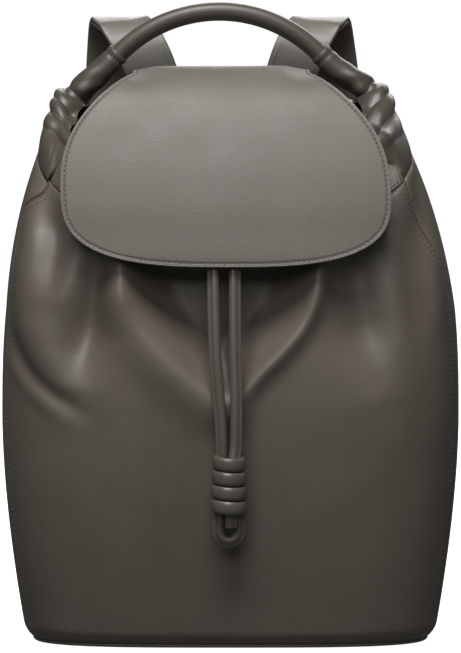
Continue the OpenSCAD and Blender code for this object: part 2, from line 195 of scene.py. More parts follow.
def sweep_closed(line, outward, section):
    """A closed bar round a closed line, whose first point isn't repeated."""
    heading = unit(np.roll(line, -1, axis=0) - np.roll(line, 1, axis=0))
    out = unit(outward - heading * np.sum(outward * heading, axis=1, keepdims=True))
    side = np.cross(heading, out)
    ring = np.vstack([section, section[:1]])
    points = line[:, None, :] + out[:, None, :] * ring[None, :, :1] + side[:, None, :] * ring[None, :, 1:]
    bm = grid(np.concatenate([points, points[:1]]), around=True)
    bmesh.ops.remove_doubles(bm, verts=bm.verts, dist=WELD)
    bmesh.ops.recalc_face_normals(bm, faces=bm.faces)
    return bm


def round_section(radius, sides=24):
    turn = np.linspace(0, 2 * math.pi, sides, endpoint=False)
    return np.stack([radius * np.cos(turn), radius * np.sin(turn)], axis=1)


def strap_section(width, thickness, edge):
    """A flat bar's outline with rounded edges and a slight crown, as (outward, sideways)."""
    half_w, half_t = width / 2, thickness / 2
    crown = 0.12
    across = np.linspace(-1, 1, 11)
    around_edge = np.linspace(0.5, 2.64, 5)
    top = [(half_t * (1 + crown * (1 - s * s)), s * (half_w - edge)) for s in across]
    bottom = [(-half_t, s * (half_w - edge)) for s in across[::-1]]
    right = [(half_t * math.cos(t), half_w - edge + edge * math.sin(t)) for t in around_edge]
    left = [(-p[0], -p[1]) for p in right]
    return np.array(top + right + bottom + left)


# Half of a stitch's length, width and height, for each kind of seam
POCKET_STITCH = (1.25, 0.38, 0.3)
CORD_STITCH = (0.95, 0.26, 0.2)
SEAM_STITCH = (1.1, 0.34, 0.26)
PATCH_STITCH = (1.15, 0.34, 0.28)
FLAP_STITCH = (1.3, 0.5, 0.42)
FLAP_UNDER_STITCH = (1.3, 0.42, 0.3)
HANDLE_STITCH = (1.15, 0.3, 0.25)
SLEEVE_STITCH = (1.05, 0.32, 0.26)
STRAP_STITCH = (1.25, 0.46, 0.34)
STRAP_UNDER_STITCH = (1.25, 0.36, 0.3)

# From the middle of one stitch to the next
SEAM_PITCH = 3.4
PATCH_PITCH = 3.2
STRAP_PITCH = 3.3
SLEEVE_PITCH = 2.9


def stitches(name, line, normals, material, body, pitch, size, sink=0.05):
    """A row of thread stitches on a surface, sunk a little into it."""
    run = lengths(line)
    marks = np.arange(pitch / 2, run[-1], pitch)
    heading = unit(np.gradient(line, axis=0))
    at, normal, heading = (np.stack([np.interp(marks, run, rows[:, k]) for k in range(3)], axis=1)
                           for rows in (line, normals, heading))
    bm = bmesh.new()
    for p, n, t in zip(at, normal, heading):
        side = unit(np.cross(n, t))
        t = unit(np.cross(side, n))
        turn = Matrix((Vector(t) * size[0], Vector(side) * size[1], Vector(n) * size[2])).transposed()
        place = Matrix.Translation(Vector(p - n * sink) * MM) @ (turn * MM).to_4x4()
        place[3][3] = 1
        bmesh.ops.create_icosphere(bm, subdivisions=1, radius=1, matrix=place)
    return new_piece(bm, name, material, body)


def sewn_row(name, line, normals, body, pitch, size):
    """A row of stitches with near-black blobs in the needle holes between them as painted shade, sunk in the
    leather.
    """
    rows = [stitches(name, line, normals, thread, body, pitch, size, 0.0)]
    run = lengths(line)
    start = np.argmax(run >= pitch / 2) if run[-1] > 2 * pitch else 0
    hole = (0.34 * pitch, 1.35 * size[1], 0.75 * size[2])
    rows.append(stitches(f"{name}_holes", line[start:], normals[start:], needle_hole_shade, body, pitch, hole, 0.1))
    return rows


# ---- Materials ----

def shader(name, colour, roughness, **sockets):
    """A new material, with its nodes, its links and its main shader."""
    material = bpy.data.materials.new(name)
    material.use_nodes = True
    nodes = material.node_tree.nodes
    bsdf = nodes["Principled BSDF"]
    bsdf.inputs["Base Color"].default_value = (*colour, 1)
    bsdf.inputs["Roughness"].default_value = roughness
    for socket, value in sockets.items():
        bsdf.inputs[socket.replace("_", " ")].default_value = value
    return material, nodes, material.node_tree.links, bsdf


def add(nodes, kind, **values):
    """A new node, with the given sockets and settings."""
    node = nodes.new(kind)
    for key, value in values.items():
        if key in node.inputs:
            node.inputs[key].default_value = value
        else:
            setattr(node, key, value)
    return node


def ramp(nodes, links, source, low, high, out_low, out_high):
    """The source's range from low to high, stretched to the range from out_low to out_high."""
    node = add(nodes, "ShaderNodeMapRange")
    for key, value in (("From Min", low), ("From Max", high), ("To Min", out_low), ("To Max", out_high)):
        node.inputs[key].default_value = value
    links.new(source, node.inputs["Value"])
    return node.outputs["Result"]


def maths(nodes, links, operation, *values):
    """A sum worked out from numbers and other nodes' outputs."""
    node = add(nodes, "ShaderNodeMath", operation=operation)
    for socket, value in zip(node.inputs, values):
        if isinstance(value, bpy.types.NodeSocket):
            links.new(value, socket)
        else:
            socket.default_value = value
    return node.outputs[0]


def two_tones(nodes, links, colour, darker, lighter, share, bsdf):
    """Takes the base colour from its darker to its lighter tone by the share."""
    tone = add(nodes, "ShaderNodeMix", data_type="RGBA")
    tone.inputs[6].default_value = (*[c * darker for c in colour], 1)
    tone.inputs[7].default_value = (*[min(1, c * lighter) for c in colour], 1)
    links.new(share, tone.inputs[0])
    links.new(tone.outputs[2], bsdf.inputs["Base Color"])


def emboss(nodes, links, height, strength, distance, bsdf):
    """Fine relief: distance is its depth in metres."""
    bump = add(nodes, "ShaderNodeBump", Strength=strength, Distance=distance)
    links.new(height, bump.inputs["Height"])
    links.new(bump.outputs["Normal"], bsdf.inputs["Normal"])


def leather(name, colour, roughness=0.42, grain=0.16, mottling=0.12, coat=0.06):
    """Smooth calf leather: a fine pebble, faint pores, slow mottling and uneven gloss."""
    material, nodes, links, bsdf = shader(name, colour, roughness, Specular_IOR_Level=0.5, Coat_Weight=coat,
                                          Coat_Roughness=0.45)
    place = add(nodes, "ShaderNodeTexCoord")
    pebble = add(nodes, "ShaderNodeTexVoronoi", Scale=1150.0)
    pores = add(nodes, "ShaderNodeTexNoise", Scale=2100.0, Detail=2.0)
    cloudy = add(nodes, "ShaderNodeTexNoise", Scale=38.0, Detail=5.0, Roughness=0.6)
    broad = add(nodes, "ShaderNodeTexNoise", Scale=9.0, Detail=2.0)
    for texture in (pebble, pores, cloudy, broad):
        links.new(place.outputs["Object"], texture.inputs["Vector"])
    drift = ramp(nodes, links, broad.outputs["Fac"], 0.3, 0.7, 0.0, 0.5)
    share = maths(nodes, links, "MULTIPLY_ADD", cloudy.outputs["Fac"], 0.5, drift)
    two_tones(nodes, links, colour, 1 - mottling, 1 + mottling, share, bsdf)
    gloss = ramp(nodes, links, cloudy.outputs["Fac"], 0.3, 0.7, roughness - 0.05, roughness + 0.06)
    links.new(gloss, bsdf.inputs["Roughness"])
    height = maths(nodes, links, "MULTIPLY_ADD", pebble.outputs["Distance"], 0.7, pores.outputs["Fac"])
    emboss(nodes, links, height, grain, 0.0003, bsdf)
    return material


def twill(name, colour, ribs_per_metre=900.0):
    """Herringbone twill: fine diagonal ribs that turn every few millimetres."""
    material, nodes, links, bsdf = shader(name, colour, 0.85, Sheen_Weight=0.25, Sheen_Roughness=0.5)
    place = add(nodes, "ShaderNodeTexCoord")
    split = add(nodes, "ShaderNodeSeparateXYZ")
    links.new(place.outputs["Object"], split.inputs[0])
    across = maths(nodes, links, "ADD", split.outputs["X"], split.outputs["Y"])
    zigzag = maths(nodes, links, "PINGPONG", across, 0.006)
    slope = maths(nodes, links, "ADD", zigzag, split.outputs["Z"])
    ribs = maths(nodes, links, "SINE", maths(nodes, links, "MULTIPLY", slope, ribs_per_metre * 2 * math.pi))
    two_tones(nodes, links, colour, 0.78, 1.12, ramp(nodes, links, ribs, -1, 1, 0, 1), bsdf)
    emboss(nodes, links, ribs, 0.5, 0.0002, bsdf)
    return material


def brushed_metal(name, colour):
    """Metal brushed along X, with faint lines and uneven gloss."""
    material, nodes, links, bsdf = shader(name, colour, 0.3, Metallic=1.0)
    place = add(nodes, "ShaderNodeTexCoord")
    stretch = add(nodes, "ShaderNodeMapping", vector_type="POINT")
    stretch.inputs["Scale"].default_value = (300, 2500, 2500)
    links.new(place.outputs["Object"], stretch.inputs["Vector"])
    brush = add(nodes, "ShaderNodeTexNoise", Scale=1.0, Detail=3.0)
    links.new(stretch.outputs[0], brush.inputs["Vector"])
    links.new(ramp(nodes, links, brush.outputs["Fac"], 0.3, 0.7, 0.24, 0.42), bsdf.inputs["Roughness"])
    emboss(nodes, links, brush.outputs["Fac"], 0.08, 0.0001, bsdf)
    return material


BODY_TONE = (0.103, 0.0885, 0.0695)
# Painted shade: the handle is the body's leather made darker, standing in for the shade on its front
HANDLE_SHADED_TONE = (0.066, 0.057, 0.044)
# Painted shade: the yokes and sleeves are the body's leather made darker, standing in for the shade on the
# gathers
GATHERED_SHADED_TONE = (0.060, 0.0515, 0.0395)
# Painted light: the flap is the body's leather made paler, standing in for the light on its upward-facing top
FLAP_LIT_TONE = (0.114, 0.104, 0.086)
# Painted light: the straps' leather is made paler, standing in for the light on their upward-facing tops
STRAP_LIT_TONE = (0.128, 0.118, 0.099)
FLAP_LINING_TONE = (0.075, 0.068, 0.055)
CORD_TONE = (0.094, 0.083, 0.067)
EDGE_PAINT_TONE = (0.175, 0.162, 0.138)
# Painted shade: near black, standing in for the shadow inside the needle holes
HOLE_SHADE_TONE = (0.012, 0.010, 0.008)
THREAD_TONE = (0.115, 0.104, 0.086)
TWILL_TONE = (0.30, 0.26, 0.20)
ZIP_TAPE_TONE = (0.05, 0.045, 0.04)
BRASS_TONE = (0.56, 0.50, 0.38)
FOAM_TONE = (0.04, 0.037, 0.033)
COTTON_TONE = (0.6, 0.55, 0.45)

body_leather = leather("body_leather", BODY_TONE, roughness=0.47, grain=0.3, mottling=0.16, coat=0.08)
# The handle's leather, darkened as painted shade for the shade on the handle's front
handle_shaded_leather = leather("handle_shaded_leather", HANDLE_SHADED_TONE, roughness=0.42, grain=0.24)
# The gathered leather, darkened as painted shade for the shade on the yokes and sleeves
gathered_shaded_leather = leather("gathered_shaded_leather", GATHERED_SHADED_TONE, roughness=0.41, grain=0.24, coat=0.1)
# The flap's leather, made paler as painted light for the light falling on the flap from above
flap_leather = leather("flap_leather", FLAP_LIT_TONE, roughness=0.5, grain=0.5, mottling=0.14, coat=0.03)
# The straps' leather, made paler as painted light for the light falling on them from above
strap_lit_leather = leather("strap_lit_leather", STRAP_LIT_TONE, roughness=0.45, coat=0.08)
flap_lining_leather = leather("flap_lining_leather", FLAP_LINING_TONE, roughness=0.5, grain=0.22, coat=0.04)
cord_leather = leather("cord_leather", CORD_TONE, roughness=0.31, mottling=0.1, coat=0.16)
edge_paint = leather("painted_edge", EDGE_PAINT_TONE, roughness=0.35, grain=0.02)
# Near-black blobs as painted shade in the needle holes
needle_hole_shade = leather("needle_hole_shade", HOLE_SHADE_TONE, roughness=0.8, grain=0.0, coat=0.0)
thread = leather("waxed_thread", THREAD_TONE, roughness=0.55, grain=0.3)
lining_cloth = twill("lining_twill", TWILL_TONE)
zip_cloth = twill("zip_tape", ZIP_TAPE_TONE, ribs_per_metre=1400.0)
brass = brushed_metal("pale_brass", BRASS_TONE)
foam = leather("foam", FOAM_TONE, roughness=0.9, grain=0.4, coat=0.0)
core_cotton = twill("core_cotton", COTTON_TONE, ribs_per_metre=500.0)


# ---- Camera ----

IMAGE_HEIGHT = 653
VIEW_HEIGHT = IMAGE_HEIGHT * 0.694
SENSOR_HEIGHT = 24
CAMERA_DISTANCE = 6000.0
CAMERA_ELEVATION = 6.0
CAMERA_TARGET = (0, -0.020, 0.2187)


def add_camera():
    """A long lens, a little above the middle of the bag and straight in front of it."""
    data = bpy.data.cameras.new("camera")
    data.sensor_fit = "VERTICAL"
    data.sensor_height = SENSOR_HEIGHT
    data.lens = SENSOR_HEIGHT * CAMERA_DISTANCE / VIEW_HEIGHT
    data.clip_end = 20
    camera = bpy.data.objects.new("camera", data)
    bpy.context.scene.collection.objects.link(camera)
    tilt = math.radians(CAMERA_ELEVATION)
    away = Vector((0, -math.cos(tilt), math.sin(tilt)))
    camera.location = Vector(CAMERA_TARGET) + away * CAMERA_DISTANCE * MM
    camera.rotation_euler = (math.radians(90) - tilt, 0, 0)
    bpy.context.scene.camera = camera


add_camera()


# ---- Drawstring cords ----

LEFT_ROUTE = [(-12, -45, 332), (-12, -52, 332), (-12, -59.5, 325), (-12, -67, 304), (-11.5, -76, 282),
              (-11, -82, 262), (-10.5, -87, 235), (-9.5, -91, 205), (-7.5, -93, 180), (-5.6, -94, 158),
              (-5, -94.3, 142), (-5, -94.3, 125), (-5, -94.3, 108), (-5.6, -94.5, 98), (-7.2, -94.8, 91),
              (-7.4, -95, 85), (-5.4, -95.2, 80.4), (-1, -95.3, 78.6), (3.4, -95.2, 80.4), (5.4, -95, 85),
              (5.2, -94.8, 91), (3.6, -94.5, 98), (3, -94.2, 108), (3, -94.2, 124)]
RIGHT_ROUTE = [(4, -45, 332), (4, -52, 332), (4, -59.5, 325), (3.5, -67, 304), (2.8, -76, 282),
               (2, -82, 262), (2, -87, 235), (2.4, -91.5, 205), (3, -95, 180), (3, -97, 160), (2.6, -98, 144),
               (1, -100, 132), (0, -101, 120), (-0.5, -101, 104), (-0.5, -100.6, 88)]
CORD_RADIUS = 3.2
FIN_REACH = 2.1
FIN_HALF_T = 0.72
FIN_SEAM = CORD_RADIUS + 0.75
CORD_PITCH = 2.7
# The back of each fin is stitched only above the knot's travel
BACK_STITCHES_FROM = 172


def cord_section():
    """A rolled tube with a thin stitched fin on its outward side."""
    turn = np.concatenate([np.linspace(-0.6, 0.6, 15), np.linspace(0.8, 2 * math.pi - 0.8, 17)])
    reach = CORD_RADIUS + FIN_REACH * np.exp(-(np.abs(turn) / 0.27) ** 2.6) * (np.abs(turn) < 0.7)
    return np.stack([reach * np.cos(turn), reach * np.sin(turn)], axis=1)


def add_cord(name, route, node, outside):
    """A rolled cord along its route; outside is 1 or -1, the way that its fin points."""
    line = even(smooth(route, 8), 1.2)
    heading = unit(np.gradient(line, axis=0))
    outward = outside * np.stack([heading[:, 2], 0 * heading[:, 0], -heading[:, 0]], axis=1)
    bar = sweep(line, outward, cord_section())
    piece = new_piece(bar, name, cord_leather, "bag", (node,))
    _, out, side = run_frames(line, outward)
    for face, word in ((1, "front"), (-1, "back")):
        seam = line + out * FIN_SEAM + side * face * FIN_HALF_T
        shown = (line[:, 2] > BACK_STITCHES_FROM) | (face > 0)
        stitches(f"{name}_stitches_{word}", seam[shown], (side * face)[shown], thread, "bag",
                             CORD_PITCH, CORD_STITCH)


KNOT_CENTRE = (-1.0, -96.5)
KNOT_BOTTOM = 98.0
KNOT_TURNS = 4
KNOT_REACH = 9.9
TURN_HEIGHT = 9.9
TURN_HALF = (2.5, TURN_HEIGHT / 2 - 0.22)
STEPS_IN_TURN = 80


def add_knot():
    """Four turns of the flattened cord, level in front, each climbing to the next at the back."""
    turn = np.arange(-STEPS_IN_TURN // 2, (KNOT_TURNS - 0.5) * STEPS_IN_TURN + 1) / STEPS_IN_TURN
    level = np.floor(turn) + smoothstep(0.3, 0.7, turn - np.floor(turn))
    level = np.clip(level, 0, KNOT_TURNS - 1)
    angle = -math.pi / 2 + 2 * math.pi * turn
    z = KNOT_BOTTOM + TURN_HEIGHT * (0.5 + level)
    reach = KNOT_REACH - 1.1 * (level / (KNOT_TURNS - 1)) ** 2
    tilt = -0.07 * reach * np.cos(angle) + 0.6 * np.sin(angle)
    x, y = KNOT_CENTRE
    line = np.stack([x + reach * np.cos(angle), y + reach * np.sin(angle), z + tilt], axis=1)
    outward = np.stack([np.cos(angle), np.sin(angle), 0 * angle], axis=1)
    ring = squared(round_section(1.0, 20), 0.74) * np.array(TURN_HALF)
    return new_piece(sweep(line, outward, ring), "knot_turns", cord_leather, "knot",
                     ("coiled_knot",))


knot = add_knot()
add_cord("left_drawcord", LEFT_ROUTE, "left_cord", 1)
add_cord("right_drawcord", RIGHT_ROUTE, "right_cord", -1)


# ---- The body's skin: a rounded-rectangle section at every height ----

BODY_HALF = 159.0
WIDEST_Z = 155.0
BASE_ROUND = 12.0
LEAN_FROM = 230.0


def lean(z):
    """The body's top leans a little to the left."""
    return -0.038 * np.maximum(0, z - LEAN_FROM)


def base_edge(z):
    """How far the rounded lower edge draws the skin in."""
    drop = np.clip(BASE_ROUND - z, 0, BASE_ROUND)
    return BASE_ROUND - np.sqrt(BASE_ROUND ** 2 - drop ** 2)


def half_width(z):
    """Half of the body's width: widest low down, and drawn in towards the gathered top."""
    below = 17 * np.clip((WIDEST_Z - z) / WIDEST_Z, 0, 1) ** 1.7
    above = 53 * np.clip((z - WIDEST_Z) / 230, 0, 1.1) ** 2.6
    return BODY_HALF - base_edge(z) - below - above


def front_reach(z):
    """How far the front bulges from the middle of the bag."""
    return (70 + 13 * np.sin(np.pi * np.minimum(1, z / 290)) - base_edge(z)
            - 28 * np.clip((z - 250) / 100, 0, 2) ** 1.5)


def back_reach(z):
    """How far the back bulges from the middle of the bag."""
    return (66 + 4 * np.sin(np.pi * np.minimum(1, z / 300)) - base_edge(z)
            - 24 * np.clip((z - 290) / 101, 0, 2) ** 1.5)


def skin(a, z, inset=0.0):
    """A point of the skin at angle a (degrees, -90 is the middle of the front) and height z."""
    power = 2 / (3.4 - 0.9 * z / 385)
    c, s = np.cos(np.radians(a)), np.sin(np.radians(a))
    reach = np.where(s < 0, front_reach(z), back_reach(z))
    return np.stack([lean(z) + (half_width(z) - inset) * squared(c, power),
                     (reach - inset) * squared(s, power), z + 0 * c], axis=-1)


def fold_angle(a):
    """Angle in from the nearer side, for an angle on the front."""
    return np.minimum(np.abs(a), 180 - np.abs(a))


# The band's ends and the back's seams, in degrees in from the side
BAND_END = 29.0
BACK_SEAM = 40.0
# Height where a gusset's top edge meets the front seam
GUSSET_FRONT_Z = 322


def side_seam(z, side):
    """How far the front panel's seam stands in from the side, in degrees."""
    return 14 + (BAND_END - 14) * smoothstep(240 if side > 0 else 297, GUSSET_FRONT_Z, z)


def front_top(a):
    """Height of the seam between the front panel and the band."""
    return 303 + 33 * np.cos(np.radians(fold_angle(a))) ** 4.15


def gusset_top(a):
    """Height of a gusset's top edge; a is counted from the side, negative towards the front."""
    rise = 18 * np.clip((a + BAND_END) / BAND_END, 0, 1) ** 0.9
    return GUSSET_FRONT_Z + rise + 5 * np.clip(a / BACK_SEAM, 0, 1)


def rim_top(a):
    """Height of the band's top edge."""
    return 350 - 23 * np.exp(-np.maximum(0, fold_angle(a) - BAND_END) / 8.7)


def back_top(a):
    """Height of the back panel's top edge."""
    return 345 + 46 * np.clip(np.sin(np.radians(a)), 0, 1) ** 3


def even_angles(start, end, z, fractions):
    """Angles at the given fractions of the way round the skin at height z."""
    fine = np.linspace(start, end, 700)
    run = lengths(skin(fine, z))
    return np.interp(fractions * run[-1], run, fine)


def wall(start, end, low, top, columns, rows, crowd=1.25):
    """Angles and heights of a patch of skin between two seams, given as functions of height and angle."""
    u = np.linspace(0, 1, columns + 1)
    v = np.linspace(0, 1, rows + 1) ** crowd
    angles = np.empty((rows + 1, columns + 1))
    heights = np.empty_like(angles)
    middle_z = 200.0
    base = even_angles(start(middle_z), end(middle_z), middle_z, u)
    for j in range(rows + 1):
        a = base
        for _ in range(3):
            z = low(a) + (top(a) - low(a)) * v[j]
            a = even_angles(float(start(z[0])), float(end(z[-1])), float(z.mean()), u)
        angles[j], heights[j] = a, low(a) + (top(a) - low(a)) * v[j]
    return angles, heights


# ---- Folds of the front ----

# Each fold: its line as (x, z), its height, and its widths to the left and right of the line as it runs
FOLDS = [
    # the long fold down the left, and the groove and small fold outside it
    ([(-122, 316), (-131, 288), (-138, 258), (-138, 232), (-131, 208), (-119, 188), (-104, 172)],
     6.5, 15, 14),
    ([(-158, 232), (-151, 214), (-143, 197), (-128, 180), (-106, 166), (-90, 158)], -3.6, 6, 7),
    ([(-158, 214), (-150, 198), (-139, 184), (-122, 167), (-104, 152)], 2.4, 9, 7),
    # the pocket of shade behind the left fold and the soft swell beside it
    ([(-112, 306), (-120, 286), (-124, 262), (-124, 240)], -4.5, 10, 9),
    ([(-100, 288), (-107, 262), (-114, 236), (-118, 206)], 3.5, 13, 11),
    # the valley left of the middle
    ([(-82, 296), (-90, 266), (-97, 234), (-103, 205), (-107, 180)], -13.0, 13, 13),
    # the ridge that runs out of the gathers, left of the middle
    ([(-74, 300), (-76, 266), (-80, 240), (-82, 214)], 5.5, 13, 17),
    # the ridge right of the middle
    ([(61, 300), (60, 266), (59, 245), (56, 225)], 3.5, 12, 9),
    # the valley right of the middle, and the soft dip and ridge between it and the seam
    ([(82, 304), (86, 266), (92, 234), (98, 206), (106, 172)], -12.5, 17, 27),
    ([(118, 312), (122, 290), (127, 258), (131, 220), (132, 190)], -3.5, 14, 9),
    ([(139, 290), (143, 250), (145, 205)], 2.0, 6, 6),
]

# The hollow under the flap between two swags that meet behind the cords
SWAG = [(-78, 330), (-77, 285), (-73, 252), (-66, 234), (-54, 216), (-38, 199), (-18, 182), (-3, 175),
        (7, 181), (20, 195), (35, 210), (48, 226), (56, 244), (60, 270), (62, 330)]
HOLLOW_DEPTH = 23.0
SWAG_CREST = 5.2


def distance_to(line, x, z):
    """Distance from points to a line, how far along it the nearest place is, and which side they are on."""
    best = np.full(x.shape, 1e9)
    along = np.zeros_like(x)
    side = np.zeros_like(x)
    for k in range(len(line) - 1):
        a, b = line[k], line[k + 1]
        d = b - a
        t = np.clip(((x - a[0]) * d[0] + (z - a[1]) * d[1]) / (d @ d), 0, 1)
        dx, dz = x - a[0] - t * d[0], z - a[1] - t * d[1]
        r = np.hypot(dx, dz)
        near = r < best
        best = np.where(near, r, best)
        along = np.where(near, (k + t) / (len(line) - 1), along)
        side = np.where(near, np.sign(d[0] * dz - d[1] * dx), side)
    return best, along, side


def fold_height(x, z):
    """How far the front stands out from its smooth shape, in millimetres."""
    total = np.zeros_like(x)
    for points, height, left, right in FOLDS:
        line = smooth(points, 5)
        r, along, side = distance_to(line, x, z)
        width = np.where(side > 0, left, right)
        fade = smoothstep(0, 0.34, along) * smoothstep(1.0, 0.55, along)
        total += height * fade * np.exp(-(r / width) ** 2)
    line = smooth(SWAG, 6)
    r, along, side = distance_to(line, x, z)
    inside = np.where(side > 0, r, -r)
    total -= HOLLOW_DEPTH * smoothstep(-4, 34, inside) * smoothstep(303, 266, z)
    crest_width = 17 - 10 * smoothstep(0.45, 0.62, along)
    crest = np.exp(-((inside + 0.4 * crest_width) / crest_width) ** 2)
    total += SWAG_CREST * crest * smoothstep(330, 265, z)
    gathers = smoothstep(262, 300, z)
    total += gathers * 2.2 * np.sin(x / 4.6 + 0.8 * np.sin(z / 22))
    slack = smoothstep(60, 140, z) * (1 - gathers)
    total += 0.5 * slack * speckle(x, z, 26, 1.3)
    total += 0.25 * speckle(x, z, 60, 4.1)
    return total


SEAM_DIP = 0.9
SEAM_DIP_WIDTH = 1.4


def folded(a, z):
    """Points of a patch of skin with its folds, dipped at the patch's edges where the seams are."""
    points = skin(a, z)
    normal = surface_normals(points)
    facing = smoothstep(0.05, 0.75, -normal[..., 1])
    height = facing * fold_height(points[..., 0], points[..., 2])
    across = np.cumsum(np.linalg.norm(np.diff(points, axis=1, prepend=points[:, :1]), axis=2), axis=1)
    up = np.cumsum(np.linalg.norm(np.diff(points, axis=0, prepend=points[:1]), axis=2), axis=0)
    edge = np.minimum(np.minimum(across, across[:, -1:] - across), up[-1:] - up)
    height = height - SEAM_DIP * np.exp(-(edge / SEAM_DIP_WIDTH) ** 2) + 0.2 * hill(edge, 4.2, 2.2)
    return points + normal * height[..., None]


def edge_line(points, inset, end=0):
    """A line on a patch, inset from its first column (end 0) or last column (end 1), with its normals."""
    normal = surface_normals(points)
    if end:
        points, normal = points[:, ::-1], normal[:, ::-1]
    line, normals = [], []
    for row, n in zip(points, normal):
        run = lengths(row)
        line.append([np.interp(inset, run, row[:, k]) for k in range(3)])
        normals.append([np.interp(inset, run, n[:, k]) for k in range(3)])
    return np.array(line), unit(normals)


def top_line(points, inset):
    """A line on a patch, inset from its top row, with its normals."""
    return edge_line(points[::-1].transpose(1, 0, 2), inset)


def bottom_line(points, inset):
    """A line on a patch, inset from its bottom row, with its normals."""
    return edge_line(points.transpose(1, 0, 2), inset)


def base_line(a):
    """Height of the walls' lower edge."""
    return 0 * a + 2.4


def body_wall(name, node, *seams_and_counts):
    """One folded wall of the body. Returns its points, for the rows of stitches along its seams."""
    points = folded(*wall(*seams_and_counts))
    add_sheet(points, name, body_leather, (node,))
    return points


front_points = body_wall("front_panel_leather", "front_panel", lambda z: -180 + side_seam(z, -1),
                         lambda z: -side_seam(z, 1), base_line, front_top, 190, 170)
gusset_points = {
    -1: body_wall("left_gusset_leather", "left_gusset", lambda z: 180 - BACK_SEAM,
                  lambda z: 180 + side_seam(z, -1), base_line, lambda a: gusset_top(180 - a), 70, 150),
    1: body_wall("right_gusset_leather", "right_gusset", lambda z: -side_seam(z, 1), lambda z: BACK_SEAM,
                 base_line, gusset_top, 70, 150),
}
back_points = body_wall("back_panel_leather", "back_panel", lambda z: BACK_SEAM, lambda z: 180 - BACK_SEAM,
                        base_line, back_top, 120, 140)
band_points = body_wall("drawstring_band", "front_band", lambda z: BAND_END - 180, lambda z: -BAND_END,
                        front_top, rim_top, 190, 26, 1.0)


# ---- Flap ----

FLAP_PROFILE = smooth([(14, 393), (-4, 398), (-24, 396), (-46, 378), (-65, 343), (-77, 312), (-83.5, 288),
                       (-87, 274), (-88, 267)], 6)
FLAP_RUN = lengths(FLAP_PROFILE)
FLAP_CREST = int(FLAP_PROFILE[:, 1].argmax())
FLAP_HALF = 113.0
FLAP_TOP_HALF = 60.0
FLAP_CREST_Z = 398.0
FLAP_WIDEST_Z = 316.0
FLAP_HEM_Z = 267.0
FLAP_T = 1.7
FLAP_SEAM = 2.1


def flap_run(z):
    """How far down the profile the flap's front reaches height z."""
    return np.interp(-np.asarray(z, float), -FLAP_PROFILE[FLAP_CREST:, 1], FLAP_RUN[FLAP_CREST:])


def flap_outline():
    """The flap's edge as (x, distance down the profile), from one end of the hinge round to the other."""
    side = [(FLAP_TOP_HALF, 0.0)]
    for z in np.linspace(FLAP_CREST_Z - 0.5, FLAP_WIDEST_Z, 50):
        drop = (z - FLAP_WIDEST_Z) / (FLAP_CREST_Z - FLAP_WIDEST_Z)
        side.append((FLAP_HALF - (FLAP_HALF - FLAP_TOP_HALF) * drop ** 2.5, flap_run(z)))
    for turn in np.linspace(0, math.pi / 2, 60)[1:]:
        z = FLAP_WIDEST_Z - (FLAP_WIDEST_Z - FLAP_HEM_Z) * math.sin(turn) ** (2 / 3)
        side.append((FLAP_HALF * max(0.0, math.cos(turn)) ** (2 / 3), flap_run(z)))
    left = [(-half, run) for half, run in side]
    return even(np.array(left + side[-2::-1]), 1.7)


def corner_droop(x):
    """How far the flap sinks towards the ends of its fold."""
    return 4.0 * smoothstep(36, 68, np.abs(x))


def flap_place(x, run, rise):
    """Points of the flap, rise above the surface between its two layers, and the flap's normals there."""
    along = unit(np.gradient(FLAP_PROFILE, axis=0))
    y, z = (np.interp(run, FLAP_RUN, FLAP_PROFILE[:, k]) for k in (0, 1))
    ty, tz = (np.interp(run, FLAP_RUN, along[:, k]) for k in (0, 1))
    swell = 10 * (x / FLAP_HALF) ** 2 * np.clip((400 - z) / 133, 0, 1) ** 0.7
    puff, dent = hill(np.abs(x), 54, 10) * hill(run, 36, 11), hill(np.abs(x), 74, 13) * hill(run, 44, 18)
    pucker = 1.8 * puff - 1.2 * dent
    droop = corner_droop(x) * smoothstep(70, 26, run)
    rise = rise - pucker + 0.5 * speckle(x, run, 34, 2.2) * smoothstep(0, 30, run)
    place = np.stack([x + lean(z), y + tz * rise + swell, z - ty * rise - droop], axis=-1)
    return place, np.stack([0 * x, tz + 0 * x, -ty + 0 * x], axis=-1)


FLAP_EDGE = flap_outline()
FLAP_CENTRE = np.array([0.0, FLAP_EDGE[:, 1].max() * 0.5])


def flap_inset(inset):
    """The flap's outline taken in by inset, along rays to its centre."""
    ray = unit(FLAP_CENTRE - FLAP_EDGE)
    tangent = unit(np.roll(FLAP_EDGE, -3, axis=0) - np.roll(FLAP_EDGE, 3, axis=0))
    facing = np.abs(ray[:, 0] * tangent[:, 1] - ray[:, 1] * tangent[:, 0])
    return FLAP_EDGE + ray * (inset / np.clip(facing, 0.55, 1))[:, None]


def flap_layer(name, top, bottom, material, node, groove):
    """One layer of the flap as a closed skin: from the middle of its top round the edge to its underside.

    groove is the depth that the stitching draws the top down to.
    """
    away_from_edge = 50.0
    rings = []
    rim = flap_inset(9.0)
    for share in np.linspace(1, 0, 36)[:-1]:
        rings.append((rim + (FLAP_CENTRE - rim) * share, top, away_from_edge))
    for inset in (9, 7.5, 6, 5, 4.2, 3.6, 3.1, 2.7, 2.3, 1.9, 1.5, 1.0, 0.6):
        rings.append((flap_inset(inset), top, inset))
    edge = 0.5 * (top - bottom)
    for turn in np.linspace(0, math.pi, 7):
        rings.append((flap_inset(0.5 - 0.5 * math.sin(turn)), bottom + edge + edge * math.cos(turn), 0.0))
    for inset in (1, 2.5, 5, 9):
        rings.append((flap_inset(inset), bottom, inset))
    for share in np.linspace(0, 1, 16)[1:]:
        rings.append((rim + (FLAP_CENTRE - rim) * share, bottom, away_from_edge))
    rows = []
    for flat, rise, inset in rings:
        dip = groove * hill(inset, FLAP_SEAM, 0.7) if rise == top else 0
        rows.append(flap_place(flat[:, 0], flat[:, 1], rise - dip)[0])
    points = np.array(rows)
    bm = grid(np.concatenate([points, points[:, :1]], axis=1), around=True)
    bmesh.ops.remove_doubles(bm, verts=bm.verts, dist=10 * WELD)
    bmesh.ops.recalc_face_normals(bm, faces=bm.faces)
    return new_piece(bm, name, material, "flap", (node,))


